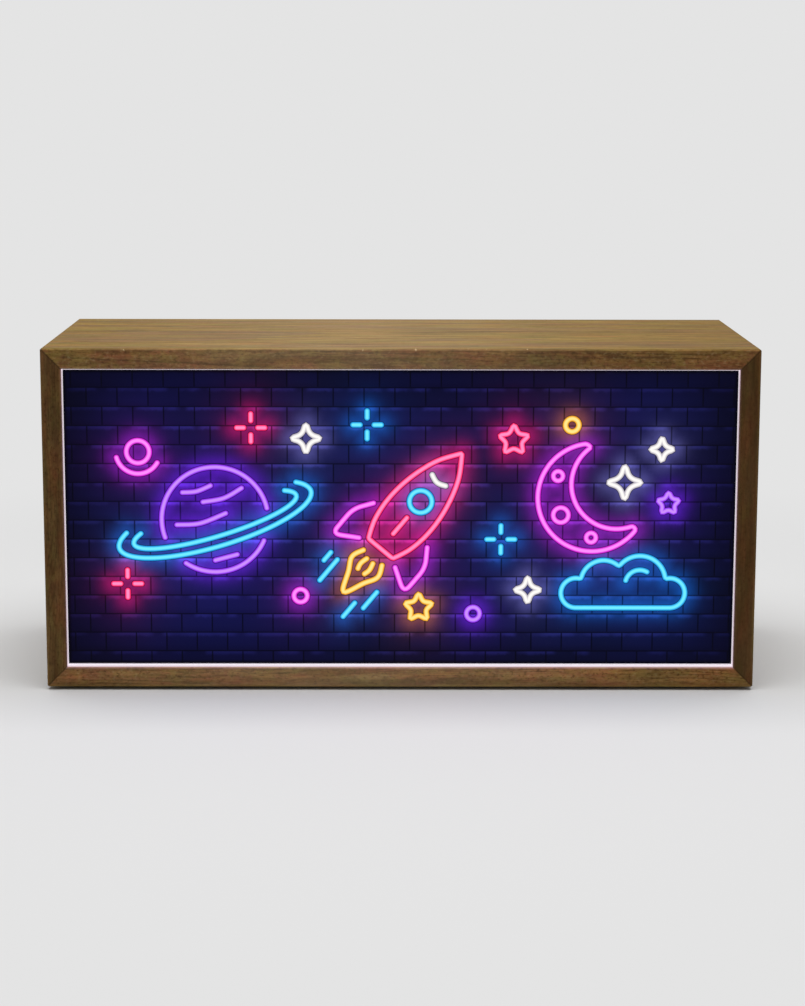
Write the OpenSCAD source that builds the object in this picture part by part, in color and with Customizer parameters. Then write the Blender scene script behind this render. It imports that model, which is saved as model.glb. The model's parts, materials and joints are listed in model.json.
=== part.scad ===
// Wooden light box sign: a mitred box with a lit picture panel in front and a screwed back panel
// that carries the LED strips and a small plate with a rocker switch and a low-voltage inlet.
// +X is to the viewer's right, +Y points to the rear, +Z is up. The origin is on the table,
// under the middle of the box. Sizes are in millimetres.

/* [Box] */
// Outside width of the wooden box
box_w = 420; // [360:1:560]
// Outside height of the wooden box, without its feet
box_h = 202; // [170:1:300]
// Outside depth of the wooden box, front edge to rear edge
box_d = 180; // [120:1:260]
// Thickness of the four boards
board_t = 12; // [10:0.5:18]
// Bevel along the outside edges of the boards
arris = 0.8; // [0.3:0.1:2]
// Bevel along the inside of the front edge
inner_arris = 0.4; // [0.2:0.1:1]

/* [Front panel] */
// Distance from the front edge of the box back to the acrylic sheet
panel_recess = 8; // [5:0.5:20]
// Thickness of the opal acrylic sheet
panel_t = 3; // [2:0.5:5]
// Depth of the groove that holds the sheet in the boards
groove_depth = 4; // [2:0.5:6]
// Play between the sheet and its groove, on every side
panel_play = 0.25; // [0.1:0.05:0.5]
// Thickness of the printed film on the sheet
film_t = 0.25; // [0.15:0.05:0.5]
// Bare acrylic left above the film
film_margin_top = 1.3; // [0.5:0.1:6]
// Bare acrylic left below the film
film_margin_bottom = 0.5; // [0.2:0.1:6]
// Bare acrylic left at each side of the film
film_margin_side = 0.1; // [0.1:0.1:6]

/* [Back panel] */
// Thickness of the back panel
back_t = 4; // [3:0.5:6]
// Distance from the rear edge of the box in to the back panel
back_recess = 8; // [8:0.5:14]
// Width of the rebate that the back panel sits in
rebate_w = 6; // [4:0.5:8]
// Play between the edge of the back panel and the rebate
back_play = 0.5; // [0.2:0.1:1]

/* [Screws] */
// Diameter of the screw shanks
screw_d = 3; // [2.5:0.1:4]
// Length of the screws under the head
screw_len = 16; // [12:1:22]
// Diameter of the screw heads
screw_head_d = 6; // [5:0.1:8]
// Height of the screw heads
screw_head_h = 1.8; // [1.4:0.1:3]
// Diameter of the shanks of the plate's screws
plate_screw_d = 2.6; // [2:0.1:3]
// Length of the plate's screws under the head
plate_screw_len = 5.5; // [4.5:0.1:5.5]
// Diameter of the heads of the plate's screws
plate_head_d = 5; // [4.5:0.1:6]
// Height of the heads of the plate's screws
plate_head_h = 1.5; // [1.2:0.1:2]
// Slope round the crown of a screw head
head_slope = 0.6; // [0.2:0.1:0.8]
// Length of a screw's pointed tip
screw_tip = 2.5; // [2:0.1:4]
// Diameter of the end of the tip
screw_point_d = 0.4; // [0.2:0.1:1]
// Width of the cross recess in a head
recess_w = 0.9; // [0.6:0.1:1.2]
// Metal left round the cross recess
recess_rim = 1.2; // [1:0.1:1.5]
// Metal left under the cross recess
recess_floor = 0.6; // [0.4:0.1:0.8]
// Radial play of the shank in the back panel
screw_hole_play = 0.2; // [0.1:0.05:0.5]
// Radial play of the shank in its pilot hole
pilot_play = 0.05; // [0.02:0.01:0.1]
// Room past the point of a screw in its pilot hole
pilot_room = 1; // [0.5:0.5:2]

/* [Control plate] */
// Width of the plate that carries the switch and the inlet
plate_w = 38; // [34:1:44]
// Thickness of the plate
plate_t = 2; // [1.5:0.1:2.5]
// Rounding of the plate's corners
plate_corner = 3; // [1:0.5:5]
// Overlap of the plate on the back panel, above and below the opening under it
plate_lap = 8; // [7:0.5:10]
// Distance of the plate's screws from its edges
plate_screw_in = 4; // [3.5:0.5:5]
// Width of the opening in the back panel under the plate
opening_w = 18; // [17:1:19]
// Height of the opening above the middle of the switch
opening_over = 13; // [12:0.5:16]
// Depth of the opening below the middle of the inlet
opening_under = 9; // [8:0.5:12]

/* [Glue blocks] */
// Leg of the triangular corner blocks
block_leg = 22; // [18:1:30]
// Length of the glue blocks
block_len = 40; // [25:1:60]
// Bevel that clears the glue line in the corner
block_relief = 1.5; // [0.5:0.1:3]
// Height of the square blocks in the middle of the long boards
mid_block = 16; // [12:1:20]
// Depth of the square blocks, along the screws
mid_block_deep = 22; // [20:1:40]

/* [LED strips] */
// Number of strips on the back panel
strip_rows = 4; // [2:1:5]
// Width of a strip
strip_w = 10; // [8:1:12]
// Thickness of a strip's circuit
strip_t = 0.4; // [0.2:0.1:0.8]
// Length of one cuttable segment
segment_len = 50; // [40:1:60]
// LEDs on one segment
leds_per_segment = 3; // [2:1:4]
// Least distance from a strip's end to the side board
strip_margin = 48; // [48:1:70]
// Least distance from the outer strips to the square blocks
row_gap = 2; // [1:0.5:10]
// Side of an LED package
led_size = 5; // [3:0.1:5.5]
// Height of an LED package
led_h = 1.4; // [0.8:0.1:2]
// Diameter of the phosphor window of an LED
phosphor_d = 4; // [2:0.1:4.4]
// Height of the phosphor window above the package
phosphor_h = 0.2; // [0.1:0.05:0.4]
// Length of a chip resistor
resistor_l = 3.2; // [2:0.1:4]
// Width of a chip resistor
resistor_w = 1.6; // [1:0.1:2]
// Height of a chip resistor
resistor_h = 0.6; // [0.4:0.1:1]

/* [Wires] */
// Outside diameter of a wire
wire_d = 1.6; // [1.2:0.1:2]
// Curve of a wire at its bends
wire_bend = 2.5; // [2:0.1:3]
// Gap between a wire and the strip that it lies on
wire_seat = 0.05; // [0.02:0.01:0.2]
// Distance of the solder pads from the middle of a strip
pad_off = 3; // [2:0.1:3.5]
// Distance of a wire's end from the end of the strip
pad_in = 3; // [2:0.1:4]
// Reach of the inner jumper wires past the strips
jumper_reach = 6; // [6:0.5:8]
// Distance between two neighbouring wires
wire_pitch = 3; // [2.8:0.1:3.2]
// Room for a wire between the end of a tab and its bend
loop_room = 6; // [4:0.5:10]
// Height of the wire clips along the wire
clip_l = 5; // [3:0.5:10]
// Wall of the wire clips around the wires
clip_wall = 1.2; // [0.8:0.1:2]
// Radial play of a wire in its clip
clip_play = 0.1; // [0.05:0.05:0.3]

/* [Switch] */
// Distance of the switch and the inlet from the inside of the side board
control_in = 24; // [22:1:28]
// Height of the middle of the switch above the inside of the bottom board
switch_up = 68; // [64:1:80]
// Width of the switch bezel
bezel_w = 15; // [14.5:0.1:17]
// Length of the switch bezel
bezel_l = 21; // [20.5:0.1:24]
// Height of the switch bezel above the plate
bezel_h = 2; // [1.5:0.1:2.5]
// Bevel round the switch bezel
bezel_bevel = 0.8; // [0.3:0.1:1.2]
// Width of the switch body
body_w = 12.8; // [12:0.1:13.5]
// Length of the switch body
body_l = 18.8; // [18:0.1:19.5]
// Depth of the switch body behind the outside of the plate
body_depth = 13; // [12.5:0.1:16]
// Play of the switch body in its cut-out
body_play = 0.2; // [0.1:0.05:0.4]
// Wall of the switch body beside the rocker
side_wall = 1.6; // [1.4:0.1:2]
// Wall of the switch body at the ends of the rocker
end_wall = 1.1; // [0.8:0.1:1.5]
// Floor of the switch body
floor_t = 1.5; // [1:0.1:2]
// Height of the barbs that hold the switch in the plate
barb_h = 0.8; // [0.5:0.1:1.2]
// Length of the sloping side of a barb
barb_l = 4; // [2:0.1:6]
// Width of a barb
barb_w = 6; // [4:0.5:8]
// Play of a barb behind the plate
barb_play = 0.15; // [0.05:0.05:0.3]
// Gap all round the rocker
rocker_gap = 0.3; // [0.2:0.05:0.4]
// Height of the rocker's axis above the outside of the plate
pivot_up = 0.3; // [0:0.1:0.5]
// Diameter of the rocker's pivot stubs
pivot_d = 2.4; // [1.6:0.1:2.6]
// Radial play of the pivot stubs in the body
pivot_play = 0.05; // [0.02:0.01:0.1]
// Length of a pivot stub inside the wall
pivot_l = 0.9; // [0.6:0.1:1.1]
// Gap at the end of a pivot stub
pivot_end_gap = 0.2; // [0.1:0.05:0.3]
// Tilt of the rocker to either side of its middle
rocker_tilt = 12; // [8:0.5:14]
// Height of the rocker's dip above its axis
rocker_dip = 1.9; // [1.7:0.1:2.2]
// Depth of the rocker's ends below its axis
rocker_end_drop = 1.2; // [0.8:0.1:1.6]
// Depth of the rocker's middle below its axis
rocker_mid_drop = 2.2; // [1.8:0.1:2.6]
// Half length of the flat under the rocker's middle
rocker_flat = 3.2; // [2.5:0.1:4]
// Outside diameter of the plunger guide under the rocker
guide_d = 4.4; // [4:0.1:5]
// Length of the plunger guide
guide_l = 2.4; // [2:0.1:2.8]
// Height of the guide's bore above the rocker's axis
guide_bore_up = 0.4; // [0.2:0.1:0.6]
// Diameter of the plunger
plunger_d = 2.6; // [2.2:0.1:2.8]
// Radial play of the plunger in its guide
plunger_play = 0.05; // [0.02:0.01:0.1]
// Depth of the plunger's top below the rocker's axis
plunger_top = 2.6; // [2.2:0.1:3]
// Depth of the plunger's tip below the rocker's axis
plunger_reach = 8.6; // [7.8:0.1:9]
// Height of the plunger's tapered tip
plunger_taper = 1; // [0.6:0.1:1.5]
// Diameter of the end of the plunger's tip
plunger_tip_d = 1.2; // [0.8:0.1:1.4]
// Diameter of the spring's wire
spring_wire = 0.36; // [0.25:0.01:0.4]
// Turns of the spring
spring_turns = 5; // [3:1:6]
// Radial play between the spring and the guide's bore
spring_play = 0.15; // [0.1:0.05:0.3]
// Thickness of the contact blade
blade_t = 0.5; // [0.4:0.1:0.7]
// Width of the contact blade
blade_w = 4; // [3:0.1:5]
// Half length of the contact blade
blade_half = 5.4; // [5:0.1:6]
// Tilt of the contact blade to either side of its middle
blade_tilt = 8; // [5:0.5:9]
// Gap between the plunger and the blade when the rocker is level
blade_gap = 0.15; // [0.1:0.05:0.3]
// Gap between the blade and the terminals
contact_gap = 0.1; // [0.05:0.05:0.2]
// Diameter of the round bead that the blade rocks on
bead_d = 1.2; // [1:0.1:1.4]
// Width of the saddle under the bead
saddle_w = 2.4; // [2.2:0.1:3]
// Height of the saddle
saddle_h = 1; // [0.8:0.1:1.2]
// Width of a switch terminal
terminal_w = 4.8; // [4:0.1:6]
// Thickness of a switch terminal
terminal_t = 0.8; // [0.5:0.1:1]
// Length of a switch terminal behind the body
terminal_l = 8; // [6:0.5:10]
// Distance of the load terminal from the middle of the switch
load_off = 5; // [4.5:0.1:5.4]
// Play of a terminal in the floor of the body
terminal_play = 0.05; // [0.02:0.01:0.1]

/* [Inlet] */
// Height of the inlet above the inside of the bottom board
inlet_up = 34; // [32:1:38]
// Diameter of the inlet's flange
flange_d = 11; // [10:0.1:13]
// Height of the inlet's flange
flange_h = 2; // [1:0.1:3]
// Bevel of the inlet's flange
flange_bevel = 0.6; // [0.2:0.1:1]
// Diameter of the inlet's bushing
bushing_d = 7.8; // [7.4:0.1:9]
// Depth of the bushing behind the outside of the plate
bushing_l = 15; // [14:0.5:20]
// Radial play of the bushing in the plate and the nut
bushing_play = 0.1; // [0.05:0.05:0.3]
// Diameter of the socket that a plug goes into
socket_d = 5.7; // [5.5:0.05:6]
// Depth of the socket behind the outside of the plate
socket_l = 7.5; // [7:0.5:9]
// Diameter of the centre pin
pin_d = 2.1; // [1.9:0.05:2.5]
// Distance of the pin's tip inside the flange's face
pin_inset = 1.5; // [1:0.1:3]
// Diameter of the pin's tail in the bushing
pin_tail_d = 1.6; // [1.2:0.05:1.8]
// Radial play of the pin's tail
pin_tail_play = 0.05; // [0.02:0.01:0.1]
// Thickness of the sleeve contact
leaf_t = 0.4; // [0.3:0.05:0.5]
// Width of the sleeve contact
leaf_w = 2; // [1.5:0.1:2.4]
// Play of the sleeve contact in its slot
leaf_play = 0.05; // [0.02:0.01:0.1]
// Distance of the sleeve contact from the socket's wall
leaf_set = 0.1; // [0.05:0.05:0.2]
// Width of the pin's solder tab
tab_w = 2.4; // [1.8:0.1:3]
// Thickness of the pin's solder tab
tab_t = 0.5; // [0.4:0.05:0.8]
// Length of the inlet's solder tabs
tab_l = 6; // [5:0.5:8]
// Width across the flats of the nut
nut_flats = 10; // [9.5:0.5:13]
// Thickness of the nut
nut_t = 2.5; // [2:0.1:4]

/* [Feet] */
// Diameter of a foot where it meets the box
foot_d = 14; // [10:0.5:18]
// Diameter of a foot where it stands
foot_base_d = 12; // [8:0.5:18]
// Height of a foot
foot_h = 2; // [1:0.5:4]
// Distance of a foot's middle from the outside of the box
foot_inset = 25; // [12:1:40]

/* [Hidden] */
$fn = 48;
// Overshoot of a cutting solid past the face that it cuts
spill = 1;
// Rings in one bend of a wire, and sides of a wire
bend_steps = 5;
wire_sides = 8;
// Rings in one turn of the spring, and sides of its wire
turn_steps = 14;
spring_sides = 6;

front_y = -box_d / 2;
rear_y = box_d / 2;
box_bottom = foot_h;
box_top = foot_h + box_h;
mid_z = foot_h + box_h / 2;
inner_w = box_w - 2 * board_t;
inner_h = box_h - 2 * board_t;
inner_bottom = box_bottom + board_t;
inner_top = box_top - board_t;

panel_y = front_y + panel_recess;
groove_y = panel_y - panel_play;
groove_w = panel_t + 2 * panel_play;
panel_edge = groove_depth - panel_play;

back_out_y = rear_y - back_recess;
back_in_y = back_out_y - back_t;
rear_wall = board_t - rebate_w;
back_edge = rebate_w - back_play;
plate_y = back_out_y + plate_t;

// Middles of the six screws, in X and Z
screw_in = block_leg / 3;
screw_spots = [
    for (sx = [-1, 1], sz = [-1, 1])
        [sx * (inner_w / 2 - screw_in), mid_z + sz * (inner_h / 2 - screw_in)],
    for (sz = [-1, 1]) [0, mid_z + sz * (inner_h / 2 - mid_block / 2)]
];
pilot_d = screw_d + 2 * pilot_play;
plate_pilot_d = plate_screw_d + 2 * pilot_play;
pilot_l = screw_len - back_t + pilot_room;

segments = floor((inner_w - 2 * strip_margin) / segment_len);
strip_len = segments * segment_len;
strip_end = strip_len / 2;
led_pitch = segment_len / leds_per_segment;
led_count = segments * leds_per_segment;
row_pitch = (inner_h - 2 * (mid_block + row_gap) - strip_w) / (strip_rows - 1);
function row_z(i) = mid_z + (i - (strip_rows - 1) / 2) * row_pitch;

wire_r = wire_d / 2;
wire_y = back_in_y - strip_t - wire_r - wire_seat;
clip_h = back_in_y - wire_y + wire_r + clip_wall;

control_x = control_in - inner_w / 2;
switch_z = inner_bottom + switch_up;
switch_at = [control_x, plate_y, switch_z];
cavity_w = body_w - 2 * side_wall;
cavity_l = body_l - 2 * end_wall;
rocker_w = cavity_w - 2 * rocker_gap;
rocker_r = cavity_l / 2 - rocker_gap;
guide_end = rocker_mid_drop + guide_l;
guide_bore_d = plunger_d + 2 * plunger_play;
// The contact blade rocks on this line, below the rocker's axis when the rocker is level
blade_y = pivot_up - plunger_reach - blade_gap - blade_t;
load_y = blade_y - blade_half * sin(blade_tilt) - contact_gap;
saddle_y = blade_y - saddle_w / 2 * tan(blade_tilt) - contact_gap;
terminal_end = -body_depth - terminal_l;

inlet_z = inner_bottom + inlet_up;
inlet_at = [control_x, plate_y, inlet_z];
leaf_x = socket_d / 2 + leaf_set;

opening_low = inlet_z - opening_under;
opening_high = switch_z + opening_over;
plate_low = opening_low - plate_lap;
plate_high = opening_high + plate_lap;
// Middles of the plate's four screws, in X and Z
plate_spots = [
    for (sx = [-1, 1], z = [plate_low + plate_screw_in, plate_high - plate_screw_in])
        [control_x + sx * (plate_w / 2 - plate_screw_in), z]
];

// Where the wires loop inside the box, and where they meet the tabs
loop_y = plate_y - body_depth - terminal_l - loop_room;
feed_loop_y = loop_y - wire_pitch;
switch_tab_y = plate_y - body_depth - terminal_l / 2;
inlet_tab_y = plate_y - bushing_l - tab_l / 2;
pad_x = -strip_end + pad_in;
switch_lead_x = -strip_end - jumper_reach - 2 * wire_pitch;
inlet_lead_x = -strip_end - jumper_reach;
load_lead_z = switch_z - load_off - terminal_t / 2 - wire_r;
common_lead_z = switch_z + terminal_t / 2 + wire_r;
pin_lead_z = inlet_z + tab_t / 2 + wire_r;
sleeve_lead_x = control_x + leaf_x + leaf_t + wire_r;

// Route of the wire from the inlet's pin to the common terminal of the switch
feed_route = [
    [control_x, inlet_tab_y, pin_lead_z],
    [control_x, feed_loop_y, pin_lead_z],
    [control_x, feed_loop_y, common_lead_z],
    [control_x, switch_tab_y, common_lead_z]
];
// Route of the wire from the load terminal of the switch to the first strip, outside the jumpers
switched_route = [
    [control_x, switch_tab_y, load_lead_z],
    [control_x, loop_y, load_lead_z],
    [switch_lead_x, loop_y, load_lead_z],
    [switch_lead_x, wire_y, load_lead_z],
    [switch_lead_x, wire_y, row_z(0) + pad_off],
    [pad_x, wire_y, row_z(0) + pad_off]
];
// Route of the wire from the inlet's sleeve contact to the first strip
return_route = [
    [sleeve_lead_x, inlet_tab_y, inlet_z],
    [sleeve_lead_x, loop_y, inlet_z],
    [sleeve_lead_x, loop_y, row_z(0) - pad_off],
    [inlet_lead_x, loop_y, row_z(0) - pad_off],
    [inlet_lead_x, wire_y, row_z(0) - pad_off],
    [pad_x, wire_y, row_z(0) - pad_off]
];

feet_names = ["foot_front_left", "foot_front_right", "foot_rear_left", "foot_rear_right"];
block_names = [
    "corner_block_bottom_left", "corner_block_bottom_right",
    "corner_block_top_left", "corner_block_top_right"
];
// Sides of the box for each foot in X and Y, and for each corner block in X and Z
quarters = [[-1, -1], [1, -1], [-1, 1], [1, 1]];

// Helpers

function unit(v) = v / norm(v);

// A corner p on the way from a to b, as a curve that leaves and joins the straights r away from p
function bend(a, p, b, r) =
    let (s = p + r * unit(a - p), e = p + r * unit(b - p))
    [for (i = [0 : bend_steps]) let (t = i / bend_steps)
        (1 - t) * (1 - t) * s + 2 * t * (1 - t) * p + t * t * e];

// A route of straights with its corners curved
function curved(p, r) = concat(
    [p[0]],
    [for (i = [1 : len(p) - 2]) each bend(p[i - 1], p[i], p[i + 1], r)],
    [p[len(p) - 1]]
);

function tangents(p) =
    [for (i = [0 : len(p) - 1]) unit(p[min(i + 1, len(p) - 1)] - p[max(i - 1, 0)])];

// A direction square to t
function square_to(t) = unit(cross(t, abs(t.z) < 0.9 ? [0, 0, 1] : [1, 0, 0]));

// Directions square to each tangent, turned as little as possible from one to the next
function carried(t, u, i = 0) =
    i == len(t) ? [] : let (w = unit(u - (u * t[i]) * t[i])) concat([w], carried(t, w, i + 1));

// A round tube along a path
module tube(path, r, sides) {
    t = tangents(path);
    u = carried(t, square_to(t[0]));
    last = (len(path) - 1) * sides;
    points = [
        for (i = [0 : len(path) - 1], k = [0 : sides - 1])
            let (a = 360 * k / sides) path[i] + r * (cos(a) * u[i] + sin(a) * cross(t[i], u[i]))
    ];
    walls = [
        for (i = [0 : len(path) - 2], k = [0 : sides - 1])
            let (a = i * sides + k, b = i * sides + (k + 1) % sides)
            each [[a, b + sides, b], [a, a + sides, b + sides]]
    ];
    caps = [
        for (k = [1 : sides - 2])
            each [[0, k, k + 1], [last, last + k + 1, last + k]]
    ];
    polyhedron(points = points, faces = concat(walls, caps));
}

// A box between two corners
module block(low, high) {
    translate(low) cube(high - low);
}

// A flat outline in Y and Z, carried along X from one side to the other
module along_x(outline, from, to) {
    translate([from, 0, 0]) rotate([90, 0, 90]) linear_extrude(to - from) polygon(outline);
}

// A flat outline in X and Z, carried along Y from front to rear
module along_y(outline, from, to) {
    translate([0, to, 0]) rotate([90, 0, 0]) linear_extrude(to - from) polygon(outline);
}

// A round bar along Y
module bar_y(d, from, to) {
    translate([0, from, 0]) rotate([-90, 0, 0]) cylinder(h = to - from, d = d);
}

// A round bar along X, centred
module bar_x(d, length) {
    rotate([0, 90, 0]) cylinder(h = length, d = d, center = true);
}

// Wooden case

// Section across a board: its outside face is at height 0, its inside face below
function board_section() = [
    [front_y + arris, 0], [rear_y - arris, 0], [rear_y, -arris],
    [rear_y, -rear_wall], [back_in_y, -rear_wall], [back_in_y, -board_t],
    [groove_y + groove_w, -board_t], [groove_y + groove_w, groove_depth - board_t],
    [groove_y, groove_depth - board_t], [groove_y, -board_t],
    [front_y + inner_arris, -board_t], [front_y, inner_arris - board_t], [front_y, -arris]
];

// Front view of a board with its mitred ends and eased corners
function board_outline(length) = [
    [arris - length / 2, 0], [length / 2 - arris, 0], [(length - arris) / 2, -arris / 2],
    [length / 2 - board_t, -board_t], [board_t - length / 2, -board_t],
    [(arris - length) / 2, -arris / 2]
];

module board(length) {
    intersection() {
        along_x(board_section(), -length / 2, length / 2);
        along_y(board_outline(length), front_y - spill, rear_y + spill);
    }
}

module top_board() {
    color("#8a6c3f") translate([0, 0, box_top]) board(box_w);
}

module bottom_board() {
    color("#6b5030") translate([0, 0, box_bottom]) rotate([0, 180, 0]) board(box_w);
}

// side is -1 for the left board and 1 for the right board
module side_board(side) {
    color("#523a20")
        translate([side * box_w / 2, 0, mid_z]) rotate([0, side * 90, 0]) board(box_h);
}

// A triangular glue block in the corner on side sx and sz of the box
module corner_block(sx, sz) {
    leg = block_leg;
    outline = [[block_relief, 0], [leg, 0], [0, leg], [0, block_relief]];
    corner = [sx * inner_w / 2, 0, mid_z + sz * inner_h / 2];
    placed = [for (p = outline) [corner.x - sx * p.x, corner.z - sz * p.y]];
    spot = [corner.x - sx * screw_in, back_in_y, corner.z - sz * screw_in];
    color("#c9a877") difference() {
        along_y(placed, back_in_y - block_len, back_in_y);
        translate(spot) bar_y(pilot_d, -pilot_l, spill);
    }
}

// A square glue block in the middle of the top or bottom board
module middle_block(sz) {
    face = mid_z + sz * inner_h / 2;
    inside = face - sz * mid_block;
    color("#c9a877") difference() {
        block(
            [-block_len / 2, back_in_y - mid_block_deep, min(face, inside)],
            [block_len / 2, back_in_y, max(face, inside)]
        );
        translate([0, back_in_y, (face + inside) / 2]) bar_y(pilot_d, -pilot_l, spill);
    }
}

// Front panel

module diffuser_sheet() {
    color("#f4f2ee") block(
        [-inner_w / 2 - panel_edge, panel_y, inner_bottom - panel_edge],
        [inner_w / 2 + panel_edge, panel_y + panel_t, inner_top + panel_edge]
    );
}

module print_film() {
    color("#171545") block(
        [film_margin_side - inner_w / 2, panel_y - film_t, inner_bottom + film_margin_bottom],
        [inner_w / 2 - film_margin_side, panel_y, inner_top - film_margin_top]
    );
}

// Back panel and its screws

module back_panel() {
    color("#ece8e0") difference() {
        block(
            [-inner_w / 2 - back_edge, back_in_y, inner_bottom - back_edge],
            [inner_w / 2 + back_edge, back_out_y, inner_top + back_edge]
        );
        block(
            [control_x - opening_w / 2, back_in_y - spill, opening_low],
            [control_x + opening_w / 2, back_out_y + spill, opening_high]
        );
        for (s = screw_spots)
            translate([s.x, back_out_y, s.y])
                bar_y(screw_d + 2 * screw_hole_play, -back_t - spill, spill);
        for (s = plate_spots)
            translate([s.x, back_out_y, s.y]) bar_y(plate_pilot_d, -back_t - spill, spill);
    }
}

// A pan-head screw with its head's seat at the origin, pointing along -Y
module screw(d, length, head_d, head_h) {
    arm = head_d - 2 * recess_rim;
    difference() {
        union() {
            rotate([-90, 0, 0]) cylinder(h = head_h, d1 = head_d, d2 = head_d - 2 * head_slope);
            bar_y(d, screw_tip - length, head_h / 2);
            translate([0, screw_tip - length, 0]) rotate([90, 0, 0])
                cylinder(h = screw_tip, d1 = d, d2 = screw_point_d);
        }
        for (size = [[arm, recess_w], [recess_w, arm]])
            block(
                [-size.x / 2, recess_floor, -size.y / 2],
                [size.x / 2, head_h + spill, size.y / 2]
            );
    }
}

module back_screws() {
    color("silver") for (s = screw_spots)
        translate([s.x, back_out_y, s.y]) screw(screw_d, screw_len, screw_head_d, screw_head_h);
}

// Plate that carries the switch and the inlet

module control_plate() {
    low = [control_x - plate_w / 2, back_out_y, plate_low];
    high = [control_x + plate_w / 2, plate_y, plate_high];
    r = plate_corner;
    cut = [body_w / 2 + body_play, plate_t + spill, body_l / 2 + body_play];
    color("#202022") difference() {
        union() {
            block(low + [r, 0, 0], high - [r, 0, 0]);
            block(low + [0, 0, r], high - [0, 0, r]);
            for (x = [low.x + r, high.x - r], z = [low.z + r, high.z - r])
                translate([x, 0, z]) bar_y(2 * r, low.y, high.y);
        }
        block(switch_at - cut, switch_at + cut);
        translate(inlet_at) bar_y(bushing_d + 2 * bushing_play, -plate_t - spill, spill);
        for (s = plate_spots)
            translate([s.x, plate_y, s.y])
                bar_y(plate_screw_d + 2 * screw_hole_play, -plate_t - spill, spill);
    }
}

module plate_screws() {
    color("silver") for (s = plate_spots)
        translate([s.x, plate_y, s.y])
            screw(plate_screw_d, plate_screw_len, plate_head_d, plate_head_h);
}

// LED strips

module led_strip(i) {
    color("white") block(
        [-strip_end, back_in_y - strip_t, row_z(i) - strip_w / 2],
        [strip_end, back_in_y, row_z(i) + strip_w / 2]
    );
}

module led_row(i) {
    face = back_in_y - strip_t;
    color("#f2d75c") for (k = [0 : led_count - 1])
        translate([(k + 0.5) * led_pitch - strip_end, face, row_z(i)]) {
            block([-led_size / 2, -led_h, -led_size / 2], [led_size / 2, 0, led_size / 2]);
            bar_y(phosphor_d, -led_h - phosphor_h, -led_h / 2);
        }
}

module strip_resistors() {
    face = back_in_y - strip_t;
    half = [resistor_l / 2, resistor_w / 2];
    color("#262626") for (i = [0 : strip_rows - 1], s = [0 : segments - 1])
        translate([s * segment_len + led_pitch - strip_end, face, row_z(i)])
            block([-half.x, -resistor_h, -half.y], [half.x, 0, half.y]);
}

// Wires

// A U-shaped jumper past the end of the strips, from row i to the next one.
// The outer jumper goes round the inner one.
module jumper(i, outer) {
    side = i % 2 == 0 ? 1 : -1;
    off = outer ? -pad_off : pad_off;
    end = side * (strip_end - pad_in);
    turn = side * (strip_end + jumper_reach + (outer ? wire_pitch : 0));
    low = row_z(i) + off;
    high = row_z(i + 1) - off;
    tube(curved([
        [end, wire_y, low], [turn, wire_y, low], [turn, wire_y, high], [end, wire_y, high]
    ], wire_bend), wire_r, wire_sides);
}

// Each strip is turned end for end from the one before, so the inner jumpers carry the plus side
module jumper_wires(outer) {
    color(outer ? "#1c1c1c" : "#b3201c")
        for (i = [0 : strip_rows - 2]) jumper(i, outer);
}

module lead(route, colour) {
    color(colour) tube(curved(route, wire_bend), wire_r, wire_sides);
}

// A saddle stuck to the back panel over one or more upright wires
module wire_clip(wires, z) {
    reach = wire_r + clip_play + clip_wall;
    difference() {
        block(
            [min(wires) - reach, back_in_y - clip_h, z - clip_l / 2],
            [max(wires) + reach, back_in_y, z + clip_l / 2]
        );
        for (x = wires)
            translate([x, wire_y, z])
                cylinder(h = clip_l + 2 * spill, d = wire_d + 2 * clip_play, center = true);
    }
}

module wire_clips() {
    turn = strip_end + jumper_reach;
    color("#f4f4f4") {
        wire_clip([switch_lead_x], (load_lead_z + row_z(0) + pad_off) / 2);
        for (i = [0 : strip_rows - 2])
            let (side = i % 2 == 0 ? 1 : -1)
            wire_clip([side * turn, side * (turn + wire_pitch)], (row_z(i) + row_z(i + 1)) / 2);
    }
}

// Rocker switch: its own origin is in the outside face of the plate, and ON is at the top

// Outline of the bezel, seen from one side, for a bezel of that width
function bezel_outline(w) = [
    [-w / 2, 0], [w / 2, 0], [w / 2, bezel_h - bezel_bevel], [w / 2 - bezel_bevel, bezel_h],
    [bezel_bevel - w / 2, bezel_h], [-w / 2, bezel_h - bezel_bevel]
];

module bezel() {
    intersection() {
        linear_extrude(bezel_l, center = true) polygon(bezel_outline(bezel_w));
        along_x([for (p = bezel_outline(bezel_l)) [p.y, p.x]], -bezel_w / 2, bezel_w / 2);
    }
}

// Sloping barbs at both ends of the body, which snap behind the plate
module barbs() {
    seat = -plate_t - barb_play;
    for (s = [-1, 1])
        along_x([
            [seat, s * (body_l / 2 - end_wall / 2)], [seat, s * (body_l / 2 + barb_h)],
            [seat - barb_l, s * (body_l / 2 - end_wall / 2)]
        ], -barb_w / 2, barb_w / 2);
}

module switch_housing() {
    pivot_span = cavity_w + 2 * (pivot_l + pivot_end_gap);
    slot = [terminal_w / 2 + terminal_play, floor_t + spill, terminal_t / 2 + terminal_play];
    color("#1d1d1f") translate(switch_at) difference() {
        union() {
            bezel();
            block([-body_w / 2, -body_depth, -body_l / 2], [body_w / 2, bezel_h / 2, body_l / 2]);
            barbs();
        }
        block(
            [-cavity_w / 2, floor_t - body_depth, -cavity_l / 2],
            [cavity_w / 2, bezel_h + spill, cavity_l / 2]
        );
        translate([0, pivot_up, 0]) bar_x(pivot_d + 2 * pivot_play, pivot_span);
        for (z = [0, -load_off])
            translate([0, floor_t / 2 - body_depth, z]) block(-slot, slot);
    }
}

// Puts a piece that is drawn with the rocker level, round its axis, into the ON position
module on_rocker() {
    translate(switch_at + [0, pivot_up, 0]) rotate([rocker_tilt, 0, 0]) children();
}

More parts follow.
